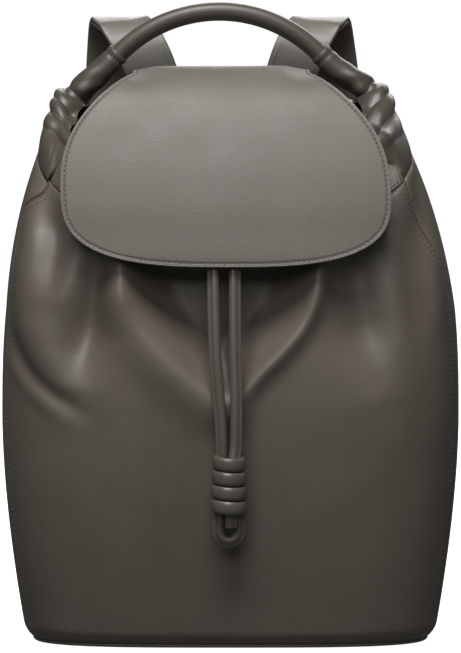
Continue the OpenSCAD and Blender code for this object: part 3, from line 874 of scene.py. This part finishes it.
def add_flap():
    """The flap's two layers, the paint on their joined edge, and the stitching round it."""
    flap_layer("flap_leather_outer", FLAP_T, 0.05, flap_leather, "flap_outer", 0.5)
    flap_layer("flap_leather_lining", -0.02, -FLAP_T, flap_lining_leather, "flap_lining", 0)
    line, _ = flap_place(*flap_inset(0.1).T, 0.0)
    inner, _ = flap_place(*flap_inset(3.0).T, 0.0)
    bead = round_section(1.0, 14) * np.array([0.75, FLAP_T + 0.05])
    new_piece(sweep(line, line - inner, bead), "flap_painted_edge", edge_paint, "flap")
    row = flap_inset(FLAP_SEAM)
    line, normal = flap_place(*row.T, FLAP_T - 0.38)
    sewn_row("flap_stitches", line, normal, "flap", SEAM_PITCH, FLAP_STITCH)
    line, normal = flap_place(*row.T, -FLAP_T)
    stitches("flap_stitches_inside", line, -normal, thread, "flap", SEAM_PITCH, FLAP_UNDER_STITCH, 0.0)


add_flap()


# ---- Top handle: a rolled arch in two stitched sleeves ----

HANDLE_Y = 30.0
HANDLE_R = 5.8
HANDLE_SEAM = HANDLE_R + 0.55
HANDLE_FIN_HALF_T = 1.15
ARCH_R = 98.0
ARCH_TOP_Z = 435.0
HEM_HALF = 70.0
SLEEVE_R = 8.0
SLEEVE_LENGTH = 38.0
HEM_ANGLE = math.asin(HEM_HALF / ARCH_R)
ARCH_CENTRE = np.array([float(lean(ARCH_TOP_Z)), HANDLE_Y, ARCH_TOP_Z - ARCH_R])


def arch_line(low, high, count):
    """Points of the handle's arch between two angles from its top, and their outward directions."""
    angle = np.linspace(low, high, count)
    reach = np.stack([np.sin(angle), 0 * angle, np.cos(angle)], axis=1)
    return ARCH_CENTRE + ARCH_R * reach, reach


def add_handle():
    """The rolled leather, with its stitched seam on the underside."""
    into_sleeve = 0.06
    line, outward = arch_line(-HEM_ANGLE - into_sleeve, HEM_ANGLE + into_sleeve, 150)
    turn = np.concatenate([np.linspace(-0.5, 0.5, 11), np.linspace(0.7, 2 * math.pi - 0.7, 25)]) + math.pi
    from_seam = np.abs(turn - math.pi)
    reach = HANDLE_R + 1.5 * np.exp(-(from_seam / 0.2) ** 2.4) * (from_seam < 0.6)
    section = np.stack([reach * np.cos(turn), reach * np.sin(turn)], axis=1)
    new_piece(sweep(line, outward, section), "handle_shaded_leather", handle_shaded_leather, "handle",
              ("handle_cover",))
    for face, word in ((-1, "front"), (1, "back")):
        seam = line - outward * HANDLE_SEAM + Y_AXIS * face * HANDLE_FIN_HALF_T
        stitches(f"handle_stitches_{word}", seam, 0 * line + Y_AXIS * face, thread, "handle", PATCH_PITCH,
                 HANDLE_STITCH, 0.15)


def sleeve_axis(side):
    """The sleeve's hem and the direction that it runs down in."""
    out = np.array([side * math.sin(HEM_ANGLE), 0, math.cos(HEM_ANGLE)])
    down = np.array([side * math.cos(HEM_ANGLE), 0, -math.sin(HEM_ANGLE)])
    return ARCH_CENTRE + ARCH_R * out, down, out


# Where each yoke's foot begins and ends, in degrees from the side
YOKE_FRONT = {-1: -38.0, 1: -46.0}
YOKE_BACK = 58.0
YOKE_T = 1.4
EASING_PASSES = 160

# The gathers below each sleeve: distance from the sleeve's hem, half the fold's width, its height, and the
# part of the way round that it runs over (centre and spread in degrees: 0 is outward, -90 the front)
GATHERS = {
    -1: [(48.6, 5.2, 4.2, -10, 220), (57.4, 5.0, 4.0, -90, 150), (66.0, 5.0, 3.0, -120, 110)],
    1: [(48.0, 5.6, 3.8, -10, 220), (59.0, 6.8, 4.0, -70, 160), (71.0, 5.6, 2.0, -110, 110)],
}
# How far the lower end of each sleeve swings outward
SLEEVE_SHIFT = {-1: 0.5, 1: 5.0}


def gathers(distance, turn, side):
    """Height of the gathers: rounded folds that meet in sharp creases."""
    total = np.zeros(np.broadcast_shapes(distance.shape, turn.shape))
    for place, half, height, centre, spread in GATHERS[side]:
        wander = 1.6 * np.sin(1.1 * turn + 0.3 * place) + 0.5 * np.sin(2.3 * turn + place)
        across = np.clip(np.abs(distance - place - wander) / half, 0, 1)
        reach = np.exp(-((np.degrees(turn) - centre) / spread) ** 2)
        total = np.maximum(total, height * reach * (1 - across ** 2) ** 0.9)
    return total


def sleeve_bend(run, side):
    """How far the sleeve swings outward by the time it reaches a distance from its hem."""
    return SLEEVE_SHIFT[side] * smoothstep(10, 42, np.asarray(run, float))


def add_sleeve(side, word):
    """The stitched sleeve over the handle's end, crumpled towards the gathers."""
    hem, down, out = sleeve_axis(side)
    run = np.concatenate([[0, 0.25, 0.8], np.linspace(1.6, SLEEVE_LENGTH + 8, 74)])
    turn = np.linspace(0, 2 * math.pi, 73)
    radius = (SLEEVE_R + 1.6 * smoothstep(6, SLEEVE_LENGTH, run) - 0.9 * np.exp(-run / 0.35)
              - 0.5 * hill(run, 5.2, 1.6) - 1.8 * smoothstep(SLEEVE_LENGTH - 2, SLEEVE_LENGTH + 6, run))
    radius = radius[:, None] + 0 * turn
    run_down = run[:, None]
    crumple = smoothstep(12, 34, run_down)
    wrinkles = 0.5 * np.sin(2 * turn + run_down / 7) + 0.45 * np.sin(3 * turn - run_down / 3.1 + side)
    radius += crumple * wrinkles
    radius -= 1.5 * crumple * hill(turn, 3.9, 0.45) * hill(run_down, 33, 5)
    ring = out * np.cos(turn)[None, :, None] + Y_AXIS * np.sin(turn)[None, :, None]
    centre = hem + down * run[:, None] + out * sleeve_bend(run, side)[:, None]
    points = centre[:, None] + ring * radius[..., None]
    inner = hem + down * 0.3 + ring[0] * (HANDLE_R + 0.1)
    points = np.concatenate([[inner], points])
    bm = grid(points, around=True)
    bmesh.ops.recalc_face_normals(bm, faces=bm.faces)
    new_piece(bm, f"{word}_sleeve_leather", gathered_shaded_leather, "handle", (f"{word}_sleeve",))
    for distance, sink, row in ((2.2, 0.05, "near"), (5.0, 0.5, "far")):
        around = hem + down * distance + ring[0] * (SLEEVE_R - sink)
        sewn_row(f"{word}_sleeve_stitches_{row}", around, ring[0], "handle", SLEEVE_PITCH, SLEEVE_STITCH)


def yoke_foot(side, u):
    """The yoke's lower edge, tucked behind the band in front and under the back panel behind."""
    a = YOKE_FRONT[side] + (YOKE_BACK - YOKE_FRONT[side]) * u
    top = np.where(a < -BAND_END, rim_top(a) - 3.5, np.where(a < BACK_SEAM, gusset_top(a), back_top(a)))
    tucked = (1.25 * smoothstep(-BAND_END, -BAND_END - 2.5, a)
              + 1.9 * smoothstep(BACK_SEAM - 1, BACK_SEAM + 2, a))
    return skin(a if side > 0 else 180 - a, top - 1.5, tucked)


def yoke_surface(side, u, v, turn, foot, collar):
    """The smooth surface from the foot up to the sleeve, before it is gathered."""
    _, down, out = sleeve_axis(side)
    ring = out * np.cos(turn)[:, None] + Y_AXIS * np.sin(turn)[:, None]
    rim = collar + ring * (SLEEVE_R + 0.3)
    front = smoothstep(0.5, 0.0, u)[:, None]
    near_foot = foot + (1 - front) * (-side * 5.5, 0, 24.0) + front * (-side * 1.5, 0, 24.0)
    near_rim = rim + down * 14 + ring * (6.0 if side > 0 else 4.5)
    shares = (1 - v) ** 3, 3 * v * (1 - v) ** 2, 3 * v ** 2 * (1 - v), v ** 3
    rows = foot, near_foot, near_rim, rim
    points = sum(share[..., None] * row[None] for share, row in zip(shares, rows))
    eased = points.copy()
    for _ in range(EASING_PASSES):
        eased[:, 1:-1] = 0.25 * eased[:, :-2] + 0.5 * eased[:, 1:-1] + 0.25 * eased[:, 2:]
    return points + (eased - points) * smoothstep(0.06, 0.4, v)[..., None]


def add_yoke(side, word):
    """Leather gathered from the gusset's top edge onto the sleeve, as rows from the seam up to the sleeve."""
    hem, down, out = sleeve_axis(side)
    begin = SLEEVE_LENGTH + 2.0
    collar = hem + down * begin + out * float(sleeve_bend(begin, side))
    u = np.linspace(0, 1, 131)
    v = np.linspace(0, 1, 121)[:, None]
    turn = np.radians(-150 + 345 * u)
    foot = yoke_foot(side, u)
    points = yoke_surface(side, u, v, turn, foot, collar)
    if side < 0:
        points, turn, u = points[:, ::-1], turn[::-1], u[::-1]
    normal = surface_normals(points)
    distance = np.sum((points - hem) * down, axis=-1)
    loose = smoothstep(0.04, 0.3, v) * smoothstep(0.9, 0.5, v)
    height = gathers(distance, turn[None, :], side) * smoothstep(0.02, 0.25, v)
    height += 1.5 * np.sin(9.5 * u[None, :] + 1.1 * side) * loose
    height += 2.6 * hill(u[None, :], 0.1, 0.09) * hill(v, 0.26, 0.14)
    height += 0.6 * loose * speckle(points[..., 1], points[..., 2], 12, 2.0)
    height -= 0.7 * np.exp(-(v * 50 / 1.4) ** 2) * smoothstep(0.0, 0.15, u[None, :])
    points = points + normal * height[..., None]
    piece = add_sheet(points, f"{word}_yoke_leather", gathered_shaded_leather, (f"{word}_yoke",),
                      YOKE_T, None)
    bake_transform(piece)


add_handle()
for side, word in SIDES:
    add_sleeve(side, word)
    add_yoke(side, word)


# ---- Shoulder straps ----

ROOT_ROUTE = [(46, 53, 367), (47, 53, 382), (52, 54, 398), (59, 58, 412), (66, 65.5, 421),
              (70.2, 72, 423.4), (72, 77.5, 424)]
STRAP_ROUTE = [(73, 82, 423.4), (74.6, 89, 419), (76, 97, 408), (78, 104, 388), (80.5, 109, 360),
               (83.5, 113, 320), (87, 115, 280), (91, 114, 240), (94, 110, 200)]
LOWER_ROUTE = [(104, 68.2, 26), (104, 68.6, 40), (103.5, 76, 62), (102, 88, 96), (98.5, 99, 135),
               (96, 105, 160), (95.4, 106.0, 170), (95.2, 108.6, 180), (95, 112.0, 189), (94.6, 114.9, 198),
               (94, 116.4, 212), (93.2, 117.2, 228), (92.6, 117.6, 240)]
STRAP_W = 36.0
STRAP_T = 6.0
LOWER_W = 20.0
LOWER_HALF_T = 1.3
BUCKLE = (95, 108.6, 190)
KEEPER = (93.6, 112.4, 218)


def mirrored(route, side):
    """The route on the given side of the bag, leaning with it."""
    p = np.array(route, float)
    return np.stack([side * p[:, 0] + lean(p[:, 2]), p[:, 1], p[:, 2]], axis=1)


def strap_outward(line):
    """Direction of the strap's outer face: up over the arch and backward on the way down."""
    return unit(np.cross(np.array([1.0, 0, 0]), np.gradient(line, axis=0)))


def bar_between(line, outward, low, high, width, taper=None):
    """A strap's layer from low to high across its thickness; taper narrows it along the line."""
    section = strap_section(width, high - low, min(1.2, (high - low) / 2))
    return sweep(line + outward * (low + high) / 2, outward, section, taper)


def add_strap(side, word):
    """A shoulder strap of two layers, from under its patch on the back down to the buckle."""
    line = even(smooth(mirrored(ROOT_ROUTE + STRAP_ROUTE, side), 8), 2.0)
    outward = strap_outward(line)
    outer = bar_between(line, outward, 0.1, STRAP_T / 2, STRAP_W)
    inner = bar_between(line, outward, -STRAP_T / 2, -0.1, STRAP_W - 0.6)
    pieces = [new_piece(outer, f"{word}_strap_leather", strap_lit_leather, None,
                        (f"{word}_strap_root", f"{word}_strap")),
              new_piece(inner, f"{word}_strap_underside", body_leather, None,
                        (f"{word}_strap_lining",))]
    for edge, place in EDGES:
        row = line + np.array([edge * (STRAP_W / 2 - 3.0), 0, 0]) + outward * (STRAP_T / 2 + 0.1)
        under = row - outward * (STRAP_T + 0.1)
        pieces += sewn_row(f"{word}_strap_stitches_{place}", row, outward, None, STRAP_PITCH, STRAP_STITCH)
        pieces.append(stitches(f"{word}_strap_understitches_{place}", under, -outward, thread, None,
                               STRAP_PITCH, STRAP_UNDER_STITCH))
    for piece in pieces:
        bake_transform(piece)
    add_lower_strap(side, word)
    add_buckle_loop(side, word)
    add_keeper(side, word)


def add_lower_strap(side, word):
    """The narrow strap from the tab up through the buckle, with a tapered tip."""
    line = even(smooth(mirrored(LOWER_ROUTE, side), 8), 1.6)
    outward = strap_outward(line)
    outward = np.where(outward[:, 1:2] < 0, -outward, outward)
    run = lengths(line)
    tip = np.sqrt(np.clip((run[-1] - run) / 9.0, 0.02, 1))
    strap = bar_between(line, outward, -LOWER_HALF_T, LOWER_HALF_T, LOWER_W, tip)
    pieces = [new_piece(strap, f"{word}_lower_strap_leather", strap_lit_leather, None,
                        (f"{word}_lower_strap",))]
    sewn = slice(4, -5)
    for edge, place in EDGES:
        row = line + np.array([edge * (LOWER_W / 2 - 2.4), 0, 0]) + outward * (LOWER_HALF_T + 0.15)
        pieces.append(stitches(f"{word}_lower_stitches_{place}", row[sewn], outward[sewn], thread, None,
                               PATCH_PITCH, PATCH_STITCH))
    for piece in pieces:
        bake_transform(piece)


def add_buckle_loop(side, word):
    """The end of the strap, split in two and folded round the buckle's bar."""
    bend, apart, width, half_t = 2.5, 6.4, 7.0, 0.6
    bar = mirrored([BUCKLE], side)[0]
    wrap = [bar + (0, -1.4, 16), bar + (0, -2.6, 8)]
    wrap += [bar + (0, bend * math.cos(t), -bend * math.sin(t)) for t in np.linspace(math.pi, 0, 15)]
    wrap += [bar + (0, bend, 5)]
    for half, place in ((-1, "inner"), (1, "outer")):
        line = np.array(wrap) + np.array([half * apart, 0, 0])
        loop = bar_between(line, -strap_outward(line), -half_t, half_t, width)
        new_piece(loop, f"{word}_buckle_loop_{place}", strap_lit_leather, f"{word}_shoulder_strap")


def add_keeper(side, word):
    """The loop that holds the lower strap's tail against the strap."""
    centre = mirrored([KEEPER], side)[0]
    turn = np.linspace(0, 2 * math.pi, 90)
    half_w, half_d = STRAP_W / 2 + 1.4, 7.2
    ring = np.stack([half_w * squared(np.cos(turn), 0.32), half_d * squared(np.sin(turn), 0.5), 0 * turn],
                    axis=1)
    line = even(centre + ring, 1.5)[:-1]
    new_piece(sweep_closed(line, line - centre, strap_section(9.0, 1.5, 0.7)), f"{word}_strap_keeper",
              strap_lit_leather, f"{word}_shoulder_strap")


for side, word in SIDES:
    add_strap(side, word)


# ---- Small leather parts of the bag ----

def patch_stitches(name, points, inset):
    """A row of stitches round all four edges of a patch."""
    sides = {"first": edge_line(points, inset), "top": top_line(points, inset),
             "last": edge_line(points, inset, 1), "bottom": bottom_line(points, inset)}
    for word, (line, normals) in sides.items():
        run = lengths(line)
        keep = (run > inset) & (run < run[-1] - inset)
        stitches(f"{name}_{word}", line[keep], normals[keep], thread, "bag", PATCH_PITCH, PATCH_STITCH, 0.0)


def add_strap_patch():
    """The panel sewn over the ends of the two shoulder straps."""
    a, z = np.meshgrid(np.linspace(57.5, 122.5, 91), np.linspace(342, 367, 21))
    shift = 2.8 + 3.4 * hill(np.abs(a - 90), 24, 9.5) * smoothstep(350, 362, z)
    points = skin(a, z)
    points = points + surface_normals(points) * shift[..., None]
    add_sheet(points, "strap_patch_leather", body_leather, ("strap_patch",))
    patch_stitches("strap_patch_stitches", points, 2.6)


def add_strap_tab(side, word):
    """The folded triangle sewn to the back's lower corner, which holds the lower strap."""
    u, v = np.meshgrid(np.linspace(-1, 1, 31), np.linspace(0, 1, 31))
    low = 12 + 9 * np.abs(u)
    z = low + (38 - low) * v
    a = 54.5 + 7.5 * u
    points = skin(a if side > 0 else 180 - a[:, ::-1], z if side > 0 else z[:, ::-1])
    points = points + surface_normals(points) * (0.9 + 3.0 * smoothstep(-0.1, 0.8, v))[..., None]
    add_sheet(points, f"{word}_strap_tab_leather", strap_lit_leather, (f"{word}_strap_tab",), 1.6)
    patch_stitches(f"{word}_strap_tab_stitches", points, 2.2)


def add_flap_anchor():
    """The strip that joins the flap to the top of the back."""
    profile = smooth([(16.6, 393), (28, 393.6), (38, 393.2), (43.6, 390.4), (46.6, 386), (49, 379.5)], 6)
    x = np.linspace(FLAP_TOP_HALF, -FLAP_TOP_HALF, 81)
    points = np.array([[(u + lean(z), y, z) for u in x] for y, z in profile[::-1]])
    unevenness = 0.35 * speckle(points[..., 0], points[..., 1], 20, 3.0)
    points = points + surface_normals(points) * unevenness[..., None]
    points[..., 2] -= corner_droop(x) * smoothstep(49, 45, points[..., 1])
    add_sheet(points, "flap_anchor_leather", flap_leather, ("flap_anchor",))
    patch_stitches("flap_anchor_stitches", points, 2.4)


def add_base():
    """The base: a slab of leather with a rounded edge, under the ends of the four walls."""
    base_t = 2.5
    turn = np.linspace(0, 360, 241)[:-1]
    bm = bmesh.new()
    bmesh.ops.create_circle(bm, cap_ends=True, segments=len(turn), radius=1)
    outline = skin(turn, base_t + 0 * turn)
    for v, p in zip(bm.verts, outline):
        v.co = Vector((p[0], p[1], 0)) * MM
    wall_up = bmesh.ops.extrude_face_region(bm, geom=bm.faces[:])
    top = [g for g in wall_up["geom"] if isinstance(g, bmesh.types.BMVert)]
    bmesh.ops.translate(bm, verts=top, vec=(0, 0, base_t * MM))
    rim = [e for e in bm.edges if abs(e.verts[0].co.z - e.verts[1].co.z) < 1e-6]
    bmesh.ops.bevel(bm, geom=rim, offset=1.1 * MM, segments=4, profile=0.5, affect="EDGES", material=-1,
                    clamp_overlap=True)
    bmesh.ops.recalc_face_normals(bm, faces=bm.faces)
    new_piece(bm, "base_leather", body_leather, "bag", ("base_panel",))


def add_lining():
    """The twill lining, from the middle of its floor up to its top edge."""
    inset, floor_z, low = 5.6, 6.4, 14
    a = np.linspace(0, 360, 145)
    top = 316 + 54 * np.clip(np.sin(np.radians(a)), 0, 1) ** 3
    rows = []
    for share in (0.02, 0.3, 0.6, 0.9, 0.97):
        rows.append(skin(a, 13 + 0 * a, inset) * (share, share, 0) + (0, 0, floor_z))
    for v in np.linspace(0, 1, 60):
        z = low + (top - low) * v
        row = skin(a, z, inset)
        pushed_in = np.clip(-fold_height(row[:, 0], row[:, 2]), 0, None)
        row[:, 1] += pushed_in * smoothstep(5, -25, row[:, 1])
        ripple = 0.006 * (1 + np.sin(np.radians(a) * 9 + 0.03 * z)) * smoothstep(20, 90, z)
        row[:, :2] *= (1 - ripple)[:, None]
        rows.append(row)
    bm = grid(np.array(rows), around=True)
    open_middle = [e for e in bm.edges if e.is_boundary and e.calc_length() < 2 * MM]
    bmesh.ops.holes_fill(bm, edges=open_middle, sides=0)
    bmesh.ops.recalc_face_normals(bm, faces=bm.faces)
    thicken(new_piece(bm, "lining_twill", lining_cloth, "bag", ("lining",)), 0.8)


def add_band_facing():
    """The strip inside the band that makes the drawstring's channel."""
    a, v = np.meshgrid(np.linspace(-140, -40, 101), np.linspace(0, 1, 13))
    low = front_top(a) + 4
    z = low + (rim_top(a) - 2 - low) * v
    add_sheet(skin(a, z, 8.8), "band_facing_leather", body_leather, ("band_facing",), 1.2)


def add_pocket():
    """The zipped pocket's cloth panel, with a turned edge."""
    low, high = np.array([-68, 53, 182.0]), np.array([68, 54, 286.0])
    seam_x, seam_y, seam_low, seam_high = 65.5, 52.9, 185, 284
    bm = bmesh.new()
    bmesh.ops.create_cube(bm, size=1)
    bmesh.ops.scale(bm, verts=bm.verts, vec=Vector(high - low) * MM)
    bmesh.ops.translate(bm, verts=bm.verts, vec=Vector((low + high) / 2) * MM)
    bmesh.ops.bevel(bm, geom=bm.edges[:], offset=0.4 * MM, segments=3, profile=0.5, affect="EDGES",
                    material=-1)
    new_piece(bm, "pocket_twill", lining_cloth, "bag", ("pocket_panel",))
    for side, word in SIDES:
        line = np.linspace((side * seam_x, seam_y, seam_low), (side * seam_x, seam_y, seam_high), 120)
        stitches(f"pocket_stitches_{word}", line, 0 * line - Y_AXIS, thread, "bag", PATCH_PITCH,
                 POCKET_STITCH)


def add_flap_fold():
    """The soft bend where the flap turns over from the strip behind it."""
    profile = smooth([(22, 393.7), (17, 393.3), (12, 393.9), (6, 396.2)], 6)
    x = np.linspace(FLAP_TOP_HALF - 0.8, 0.8 - FLAP_TOP_HALF, 61)
    points = np.array([[(u + lean(z), y, z + 0.35 - corner_droop(u)) for u in x] for y, z in profile])
    piece = add_sheet(points, "flap_fold_leather", flap_leather, (), 1.5, None)
    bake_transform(piece)


add_strap_patch()
for side, word in SIDES:
    add_strap_tab(side, word)
add_flap_anchor()
add_flap_fold()
add_base()
add_lining()
add_band_facing()
add_pocket()


# ---- Seam stitching ----

def seam_row(name, line_and_normals, low=0.0, high=1.0):
    """Stitches along the part of a line from low to high, as shares of its points."""
    line, normals = line_and_normals
    keep = slice(int(low * len(line)), int(high * len(line)))
    sewn_row(name, line[keep], normals[keep], "bag", SEAM_PITCH, SEAM_STITCH)


for inset, row in ((1.9, "near"), (5.7, "far")):
    for end, word in ((0, "left"), (1, "right")):
        seam_row(f"front_seam_{word}_{row}", edge_line(front_points, inset, end), 0.02)
seam_row("front_seam_top", top_line(front_points, 2.4))
seam_row("band_seam", bottom_line(band_points, 2.2))
seam_row("band_rim_stitches", top_line(band_points, 3.4), 0.08, 0.92)
rim_line = even(top_line(band_points, 0.5)[0], 1.2)
new_piece(sweep(rim_line, rim_line * (1, 1, 0), round_section(1.15, 12)), "band_rolled_edge", body_leather,
          "bag")
for side, word in SIDES:
    seam_row(f"{word}_gusset_top_stitches", top_line(gusset_points[side], 2.4))
for end, word in ((0, "right"), (1, "left")):
    seam_row(f"back_seam_{word}", edge_line(back_points, 3.0, end), 0.02)
seam_row("back_top_stitches", top_line(back_points, 2.6))


# ---- Finishes of the frame's own parts ----

FINISHES = {
    brass: ("channel_eyelets", "panel_snaps", "flap_snaps", "zip_teeth", "zip_slider", "zip_pull",
            "left_buckle", "right_buckle", "left_prong", "right_prong"),
    foam: ("base_board", "back_padding"),
    cord_leather: ("channel_cords",),
    zip_cloth: ("zip_tape",),
    core_cotton: ("handle_core",),
}
for material, nodes_finished in FINISHES.items():
    for node in nodes_finished:
        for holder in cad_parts[node].material_slots:
            holder.material = material


# ---- Floor, backdrop and studio light ----

WHITE = (1, 1, 1, 1)
FLOOR_TONE = (0.85, 0.85, 0.84)
FLOOR_SIZE = 8.0
BACKDROP_GLOW = 1.05
LIGHT_FROM_WORLD = 0.11


def add_floor():
    """A pale floor that the bag isn't lit by."""
    material, _, _, bsdf = shader("studio_floor", FLOOR_TONE, 0.9)
    bsdf.inputs["Emission Color"].default_value = WHITE
    bsdf.inputs["Emission Strength"].default_value = 1.0
    bm = bmesh.new()
    bmesh.ops.create_grid(bm, x_segments=1, y_segments=1, size=FLOOR_SIZE / 2)
    bmesh.ops.translate(bm, verts=bm.verts, vec=(0, 0, -0.5 * MM))
    floor = new_piece(bm, "studio_floor", material)
    floor.visible_diffuse = False
    floor.visible_glossy = False


def area_light(name, place, aim, size, power):
    data = bpy.data.lights.new(name, "AREA")
    data.shape = "RECTANGLE"
    data.size, data.size_y = size
    data.energy = power
    light = bpy.data.objects.new(name, data)
    light.location = place
    light.rotation_euler = (Vector(aim) - Vector(place)).to_track_quat("-Z", "Y").to_euler()
    bpy.context.scene.collection.objects.link(light)


def add_backdrop():
    """A white world to the camera, and a dim one to the bag."""
    world = bpy.data.worlds.new("studio")
    bpy.context.scene.world = world
    world.use_nodes = True
    nodes, links = world.node_tree.nodes, world.node_tree.links
    backdrop = nodes["Background"]
    backdrop.inputs["Color"].default_value = WHITE
    seen = nodes.new("ShaderNodeLightPath").outputs["Is Camera Ray"]
    links.new(ramp(nodes, links, seen, 0, 1, LIGHT_FROM_WORLD, BACKDROP_GLOW), backdrop.inputs["Strength"])
    bpy.context.scene.view_settings.view_transform = "Standard"


add_floor()
area_light("key_above", (-0.12, -0.62, 1.38), (0, -0.05, 0.25), (0.75, 0.45), 19)
area_light("front_fill", (-0.3, -2.0, 1.35), (0, 0, 0.2), (1.6, 0.9), 13)
area_light("back_fill", (0.3, 1.6, 1.2), (0, 0, 0.2), (1.4, 0.8), 18)
add_backdrop()
